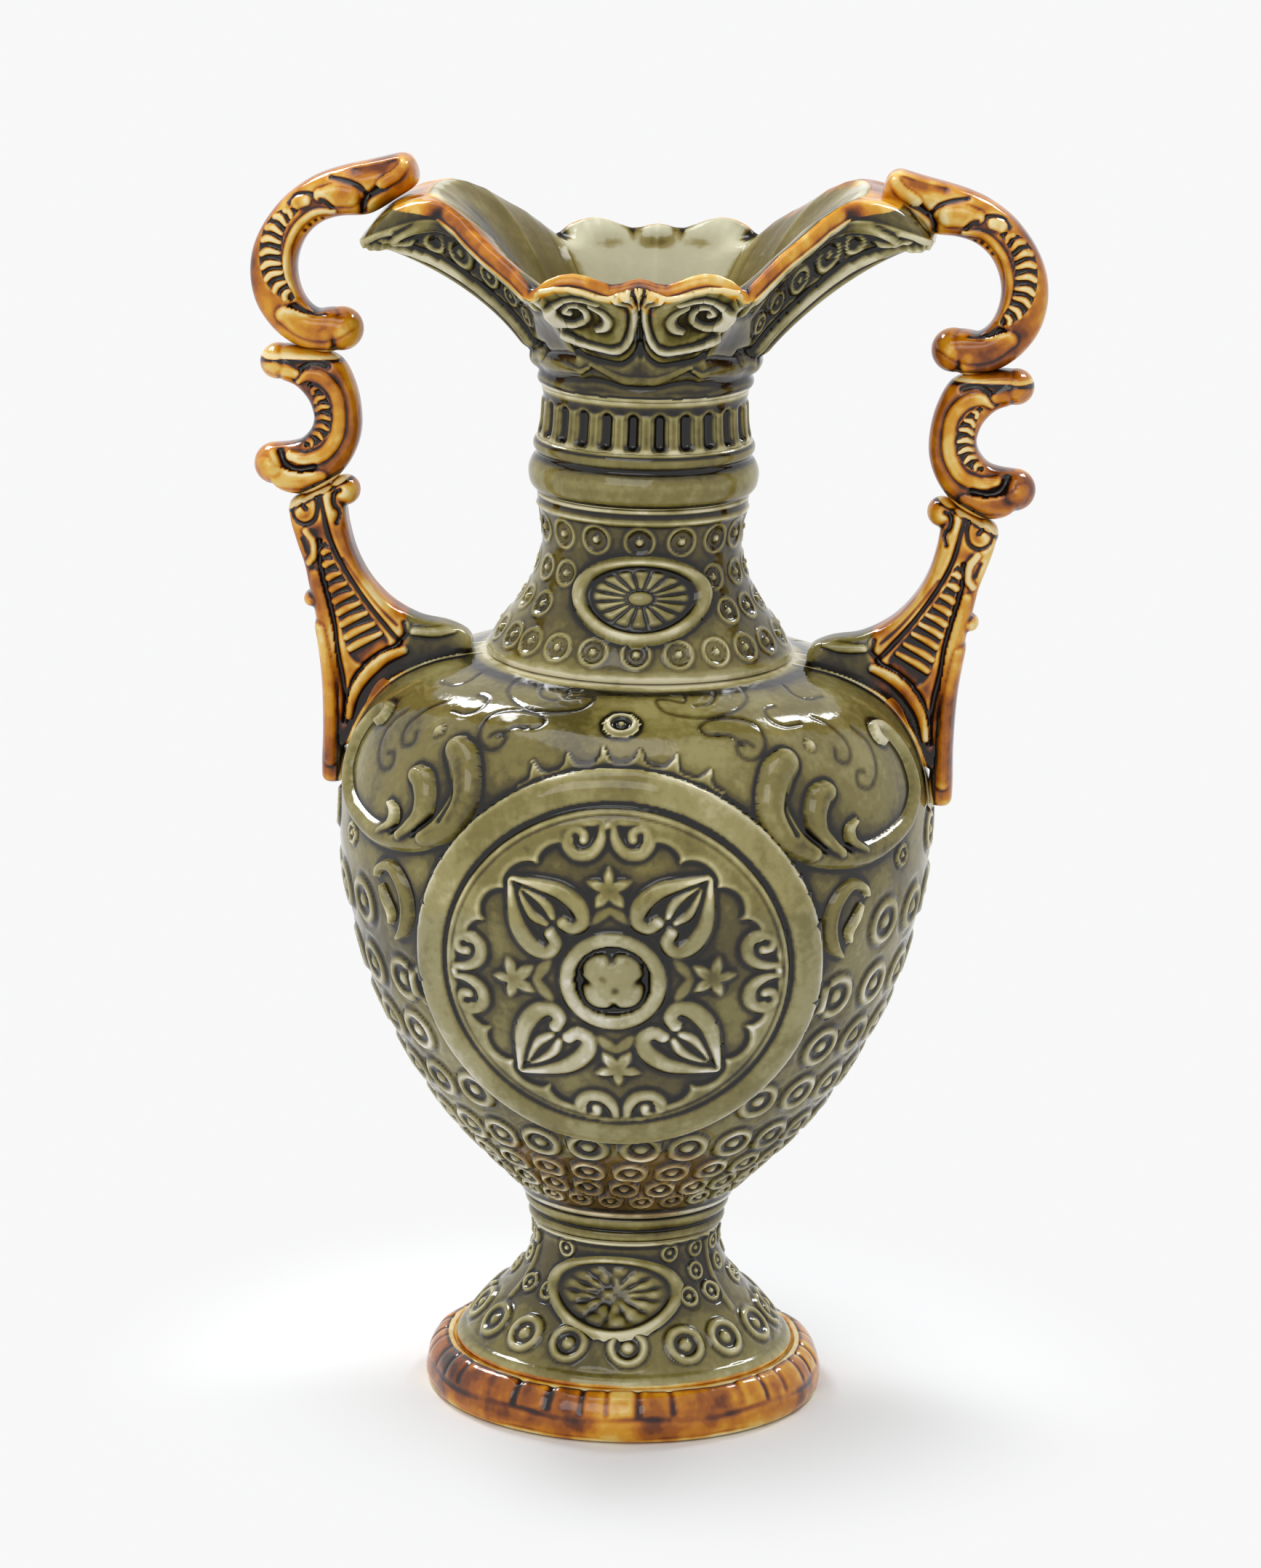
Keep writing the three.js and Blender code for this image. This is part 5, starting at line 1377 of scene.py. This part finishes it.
def ladder(height, x, z, rows, count, depth=1.1, lean=0.9):
    """A sunk panel with rounded ribs across it. Each row is x, z and half the panel's width."""
    sunk = np.zeros(len(x))
    bead(sunk, x, z, rows, 1.0)
    height -= depth * smooth(sunk * 2.2)
    line = flow(rows, LADDER_STEP)
    thick = 0.36 * len(line) * LADDER_STEP / count
    for k in range(count):
        at = int((k + 0.5) / count * (len(line) - 2)) + 1
        spot, half = line[at, :2], line[at, 2]
        ahead = (line[at + 1, :2] - line[at - 1, :2]) / np.linalg.norm(line[at + 1, :2] - line[at - 1, :2])
        out = np.array([-ahead[1], ahead[0]])
        rib = [(*(spot + out * half * 0.8 + ahead * lean * 0.8), thick),
               (*(spot + out * half * 0.2 - ahead * lean * 0.3), thick * 1.1),
               (*(spot - out * half * 0.75 + ahead * lean * 0.2), thick * 0.7)]
        bead(height, x, z, rib, depth + 0.5, -depth)


def upper_marks(height, x, z):
    ladder(height, x, z, [(104.4, 361.8, 1.0), (108, 359.4, 2.4), (110.4, 356, 3.2), (111.6, 351.6, 3.5),
                          (111.6, 346.4, 3.5), (110.4, 341.6, 3.2), (108, 337.8, 2.2),
                          (105.4, 335.4, 1.0)], 9)
    draw(height, x, z, [
        (0.9, [(93, 361.6, 0.9), (98, 361.4, 1.2), (102, 358.8, 1.3), (105, 354.8, 1.3), (106.6, 350, 1.3),
               (106.8, 345, 1.3), (105.8, 340.4, 1.2), (103, 336.2, 1.1)]),
        (1.2, 0.7, [(97, 365.2), (100.4, 366.8), (104.4, 366.2), (106.4, 363.6)]),
        (1.0, [(101.4, 364.6, 1.7), (104, 363.8, 1.8)]),
    ])
    for dot in ((96.4, 359.4), (98.4, 358.8), (100.1, 357.4), (101.6, 355.6)):
        height -= 0.7 * np.exp(-(((x - dot[0]) ** 2 + (z - dot[1]) ** 2) / 0.36))
    draw(height, x, z, [
        (1.5, [(88.6, 366.4, 3.4), (92.6, 366.8, 3.6), (97, 366.6, 2.2)]),
        (2.0, 1.3, [(78.4, 369.8), (82, 367.2), (84, 364.8), (84.4, 361.6)]),
        (1.3, 0.7, [(83, 366.8), (85.6, 369.6), (89.6, 371), (94, 371.6)]),
        (1.0, 0.7, [(93.6, 363), (95.4, 365), (97, 365.4)]),
        (1.3, 1.9, [(75.6, 377.6), (78.6, 375.4), (83, 374.4), (87, 374)]),
        (0.8, [(71.4, 377.6, 1.4), (74, 373.6, 1.8), (78.6, 370.6, 1.8)]),
        (2.6, 1.7, [(96.8, 331.8), (99, 330.4), (101.8, 330.6), (104.6, 332.6)]),
        (1.0, [(88, 328.6, 2.6), (94, 326.6, 3.6), (101, 327, 3.6), (107.6, 330.4, 2.6)]),
        (0.7, [(103.6, 343.6, 0.9), (103.4, 339, 1.3), (100.4, 335.4, 1.2)]),
    ])


def middle_marks(height, x, z):
    ladder(height, x, z, [(99.6, 309.2, 0.8), (97.4, 306.6, 1.8), (95.9, 303, 2.6), (95.5, 299.4, 2.8),
                          (96.2, 295.8, 2.6), (98.2, 292.8, 1.8), (100.6, 291.2, 0.8)], 7)
    draw(height, x, z, [
        (1.3, [(103, 310.6, 1.2), (99.8, 312.4, 2.0), (95.4, 311.2, 2.3), (91.8, 307, 2.2),
               (90.6, 300.6, 2.1), (91.4, 294.4, 2.2), (94.8, 289.2, 2.3), (100, 287, 2.2),
               (105.4, 287.8, 1.6)]),
        (1.2, 0.8, [(94.2, 315), (98.8, 316), (102.6, 314), (104, 311)]),
        (2.2, 1.3, [(98.6, 284.4), (103.2, 283.6), (106.8, 285.2), (108.4, 288.4)]),
        (0.9, [(104, 312.6, 1.6), (109, 314.6, 2.8), (111.6, 315.4, 2.6)]),
        (0.9, [(96, 281.6, 2.0), (103, 280.2, 2.6), (110, 281.6, 3.0), (113, 285, 2.4)]),
    ])


def bracket_marks(height, x, z):
    draw(height, x, z, [
        (1.4, [(95.6, 279, 1.6), (93.4, 272, 2.4), (90.6, 263.4, 2.6), (86.6, 255.6, 2.6), (82, 249, 2.6),
               (76.6, 242.6, 2.8), (71.4, 236.6, 3.0)]),
        (1.3, 0.8, [(96, 276), (94.8, 270), (93, 263), (89.8, 256), (85.6, 249.2), (80.6, 242), (75.4, 236),
                    (71.8, 232)]),
        (0.6, 0.6, [(89, 257), (84, 249.8), (78.4, 243), (72.6, 237.4)]),
        (1.5, 0.8, [(90.4, 277.6), (92.4, 276.2), (92.2, 273.2), (90.6, 271), (91, 268)]),
        (1.2, 0.9, [(70.6, 238), (70.2, 234.8), (71.8, 231.8)]),
        (1.3, 0.7, [(98, 276.6), (97, 272.4), (97.8, 268.6), (100.6, 267), (103.6, 268.2), (104.4, 271.2),
                    (102.4, 273.4), (100.6, 271.8)]),
        (1.4, [(100.4, 265, 1.2), (98.2, 262, 1.4), (97.6, 258.4, 1.5), (99.4, 255.4, 1.2)]),
        (0.9, 0.8, [(101.4, 262.4), (100, 258.8)]),
        (1.8, 0.9, [(96.4, 262), (96, 256), (94.4, 249), (92.6, 242), (91.2, 235), (90.6, 229), (89, 221),
                    (88, 213), (88, 207)]),
        (1.1, [(97.8, 252, 1.6), (96.4, 244, 2.2), (94.4, 234, 2.4), (93, 222, 2.4), (92.4, 208, 2.4),
               (92.4, 195, 2.2)]),
    ])
    ladder(height, x, z, [(94.6, 261, 0.8), (93.4, 256, 1.6), (91.2, 250.6, 2.6), (88.6, 245, 3.8),
                          (86, 239.8, 5.0), (83.4, 234.6, 6.2), (81.2, 230.4, 7.0)], 9, depth=0.9, lean=0.3)
    draw(height, x, z, [
        (1.7, 0.9, [(72.6, 231), (79, 227), (84.4, 221.6), (87, 215), (88, 208)]),
        (1.0, [(70.4, 229.6, 1.4), (76.4, 226.6, 1.8), (81.6, 221.6, 1.9), (85.2, 215.6, 1.6),
               (86.8, 208.6, 1.2)]),
        (1.0, [(55.6, 236.2, 1.2), (61, 235.4, 1.6), (67.6, 235.6, 1.4)]),
    ])


BODY_FOOT_Z, BODY_TOP_Z = 63, 230.5
UNDER_SKIN = 2.2


def body_radius_within(z):
    return body_radius(np.clip(z, BODY_FOOT_Z, BODY_TOP_Z))


def keep_off_the_wall(points):
    """Lifts what would hang inside the vase to just under its skin."""
    r = from_axis(points)
    skin = body_radius_within(points[:, 2]) - UNDER_SKIN
    push_out = np.where((points[:, 2] < 229.5) & (r < skin) & (r > 60), skin / np.maximum(r, 1), 1)
    result = points.copy()
    result[:, 0] *= push_out
    shoulder = BODY_LINE[::-1][:60]
    low = np.interp(r, shoulder[:, 0], shoulder[:, 1]) - UNDER_SKIN
    sunk = (r <= 84) & (r > 44) & (result[:, 2] < low) & (points[:, 2] > 205)
    result[:, 2] = np.where(sunk, low, result[:, 2])
    return result


# %% Making both handles
LOW_JOINT, LOW_JOINT_AXIS = (98, 276.8), (0.492, 0.87)
MAKERS = {"upper_scroll": (upper_scroll, upper_marks), "middle_scroll": (middle_scroll, middle_marks),
          "lower_bracket": (lower_bracket, bracket_marks)}
for member, (maker, marks) in MAKERS.items():
    for side, sign in (("right", 1), ("left", -1)):
        bm = maker()
        if sign < 0:
            bmesh.ops.scale(bm, vec=(-1, 1, 1), verts=bm.verts)
            bmesh.ops.reverse_faces(bm, faces=bm.faces)
        handle = fused(f"handle_{side}_{member}_casting", bm)
        points, normal = points_of(handle), normals_of(handle)
        x, z = np.abs(points[:, 0]), points[:, 2]
        height = np.zeros(len(points))
        marks(height, x, z)
        facing = smooth((np.abs(normal[:, 1]) - 0.25) / 0.4)
        points[:, 1] += np.sign(normal[:, 1]) * height * 0.75 * facing
        if member == "lower_bracket":
            points = keep_off_the_wall(points)
        place_points(handle, points)
        over_joint = (x - LOW_JOINT[0]) * LOW_JOINT_AXIS[0] + (z - LOW_JOINT[1]) * LOW_JOINT_AXIS[1]
        amber = np.ones(len(points))
        if member == "upper_scroll":
            joint = 3 * smooth((320.2 - z) / 1.5)
        elif member == "middle_scroll":
            joint = 3 * smooth((z - 316.4) / 1.2) + 3 * smooth((1.8 - over_joint) / 1.2)
        else:
            low = body_radius_within(z) - from_axis(points)
            joint = 3 * smooth((over_joint + 1.8) / 1.2) + 3 * smooth((low + 1.6) / 1.6) * (z < 229)
            amber = 1 - 0.75 * smooth((73 - x) / 5) - 0.5 * smooth((206 - z) / 10) * smooth((93 - x) / 3)
        dress(handle, amber_glaze, [f"handle_{side}_{member}"], amber=amber, overlaid=joint,
              broad=2.6)

# %% [markdown]
# ## Room and light
# The vase stands on a pale sweep in soft daylight. Two tall windows behind it and above leave the
# bright patches on the shoulder, and a large soft light in front keeps the glaze's own colour.

# %% Floor and world
def seen_rays(nodes, links):
    """1 for rays from the camera, off a glossy surface or through glass, and 0 for the others."""
    path = nodes.new("ShaderNodeLightPath")
    value = path.outputs["Is Camera Ray"]
    for kind in ("Is Glossy Ray", "Is Transmission Ray"):
        either = nodes.new("ShaderNodeMath")
        either.operation = "MAXIMUM"
        links.new(value, either.inputs[0])
        links.new(path.outputs[kind], either.inputs[1])
        value = either.outputs["Value"]
    return value


floor_mesh = bpy.data.meshes.new("floor")
bm = bmesh.new()
bmesh.ops.create_grid(bm, x_segments=1, y_segments=1, size=6)
bm.to_mesh(floor_mesh)
bm.free()
floor = bpy.data.objects.new("floor", floor_mesh)
bpy.context.scene.collection.objects.link(floor)
floor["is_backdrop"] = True
paper = bpy.data.materials.new("pale_paper")
paper.use_nodes = True
nodes, links = paper.node_tree.nodes, paper.node_tree.links
sheet = nodes["Principled BSDF"]
sheet.inputs["Base Color"].default_value = srgb(240, 240, 240)
sheet.inputs["Roughness"].default_value = 0.9
sheet.inputs["Specular IOR Level"].default_value = 0.1
far_white = nodes.new("ShaderNodeEmission")
far_white.inputs["Color"].default_value = (0.94, 0.94, 0.945, 1)
spot, length = nodes.new("ShaderNodeTexCoord"), nodes.new("ShaderNodeVectorMath")
length.operation = "LENGTH"
away = nodes.new("ShaderNodeMapRange")
away.inputs["From Min"].default_value, away.inputs["From Max"].default_value = 0.07, 0.17
away.interpolation_type = "SMOOTHSTEP"
both, join = nodes.new("ShaderNodeMath"), nodes.new("ShaderNodeMixShader")
both.operation = "MULTIPLY"
links.new(spot.outputs["Object"], length.inputs[0])
links.new(length.outputs["Value"], away.inputs["Value"])
links.new(away.outputs["Result"], both.inputs[0])
links.new(seen_rays(nodes, links), both.inputs[1])
links.new(both.outputs["Value"], join.inputs["Fac"])
links.new(sheet.outputs["BSDF"], join.inputs[1])
links.new(far_white.outputs["Emission"], join.inputs[2])
links.new(join.outputs["Shader"], nodes["Material Output"].inputs["Surface"])
floor.data.materials.append(paper)

world = bpy.data.worlds.new("daylight")
bpy.context.scene.world = world
world.use_nodes = True
nodes, links = world.node_tree.nodes, world.node_tree.links
sky = nodes["Background"]
sky.inputs["Color"].default_value = (0.97, 0.98, 1.0, 1)
sky.inputs["Strength"].default_value = 0.5
seen = nodes.new("ShaderNodeBackground")
seen.inputs["Color"].default_value = (0.955, 0.955, 0.965, 1)
seen.inputs["Strength"].default_value = 1.0
choose = nodes.new("ShaderNodeMixShader")
links.new(seen_rays(nodes, links), choose.inputs["Fac"])
links.new(sky.outputs["Background"], choose.inputs[1])
links.new(seen.outputs["Background"], choose.inputs[2])
links.new(choose.outputs["Shader"], nodes["World Output"].inputs["Surface"])


# %% Lamps
def softbox(name, place, aim, size, power, colour=(1, 1, 1)):
    lamp = bpy.data.lights.new(name, "AREA")
    lamp.shape = "RECTANGLE"
    lamp.size, lamp.size_y = size
    lamp.energy = power
    lamp.color = colour
    lamp_object = bpy.data.objects.new(name, lamp)
    bpy.context.scene.collection.objects.link(lamp_object)
    turn = (Vector(aim) - Vector(place)).to_track_quat("-Z", "Y").to_matrix().to_4x4()
    lamp_object.matrix_world = Matrix.Translation(place) @ turn


softbox("window_left", (-0.95, 1.1, 1.75), (0, 0, 0.25), (0.55, 0.8), 22, (0.95, 0.98, 1))
softbox("window_right", (0.9, 1.15, 1.7), (0, 0, 0.25), (0.4, 0.7), 14, (0.95, 0.98, 1))
softbox("front_fill", (-0.6, -2.6, 2.2), (0, 0, 0.2), (2.4, 1.6), 30, (1, 0.99, 0.97))
softbox("ceiling", (-0.3, -0.1, 2.4), (0, 0, 0.2), (1.6, 1.2), 12, (1, 1, 0.99))
bpy.context.scene.view_settings.view_transform = "Standard"

# %% Sizes, and the end
low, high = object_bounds()
print("visual box", [round(v / MM, 1) for v in high - low])
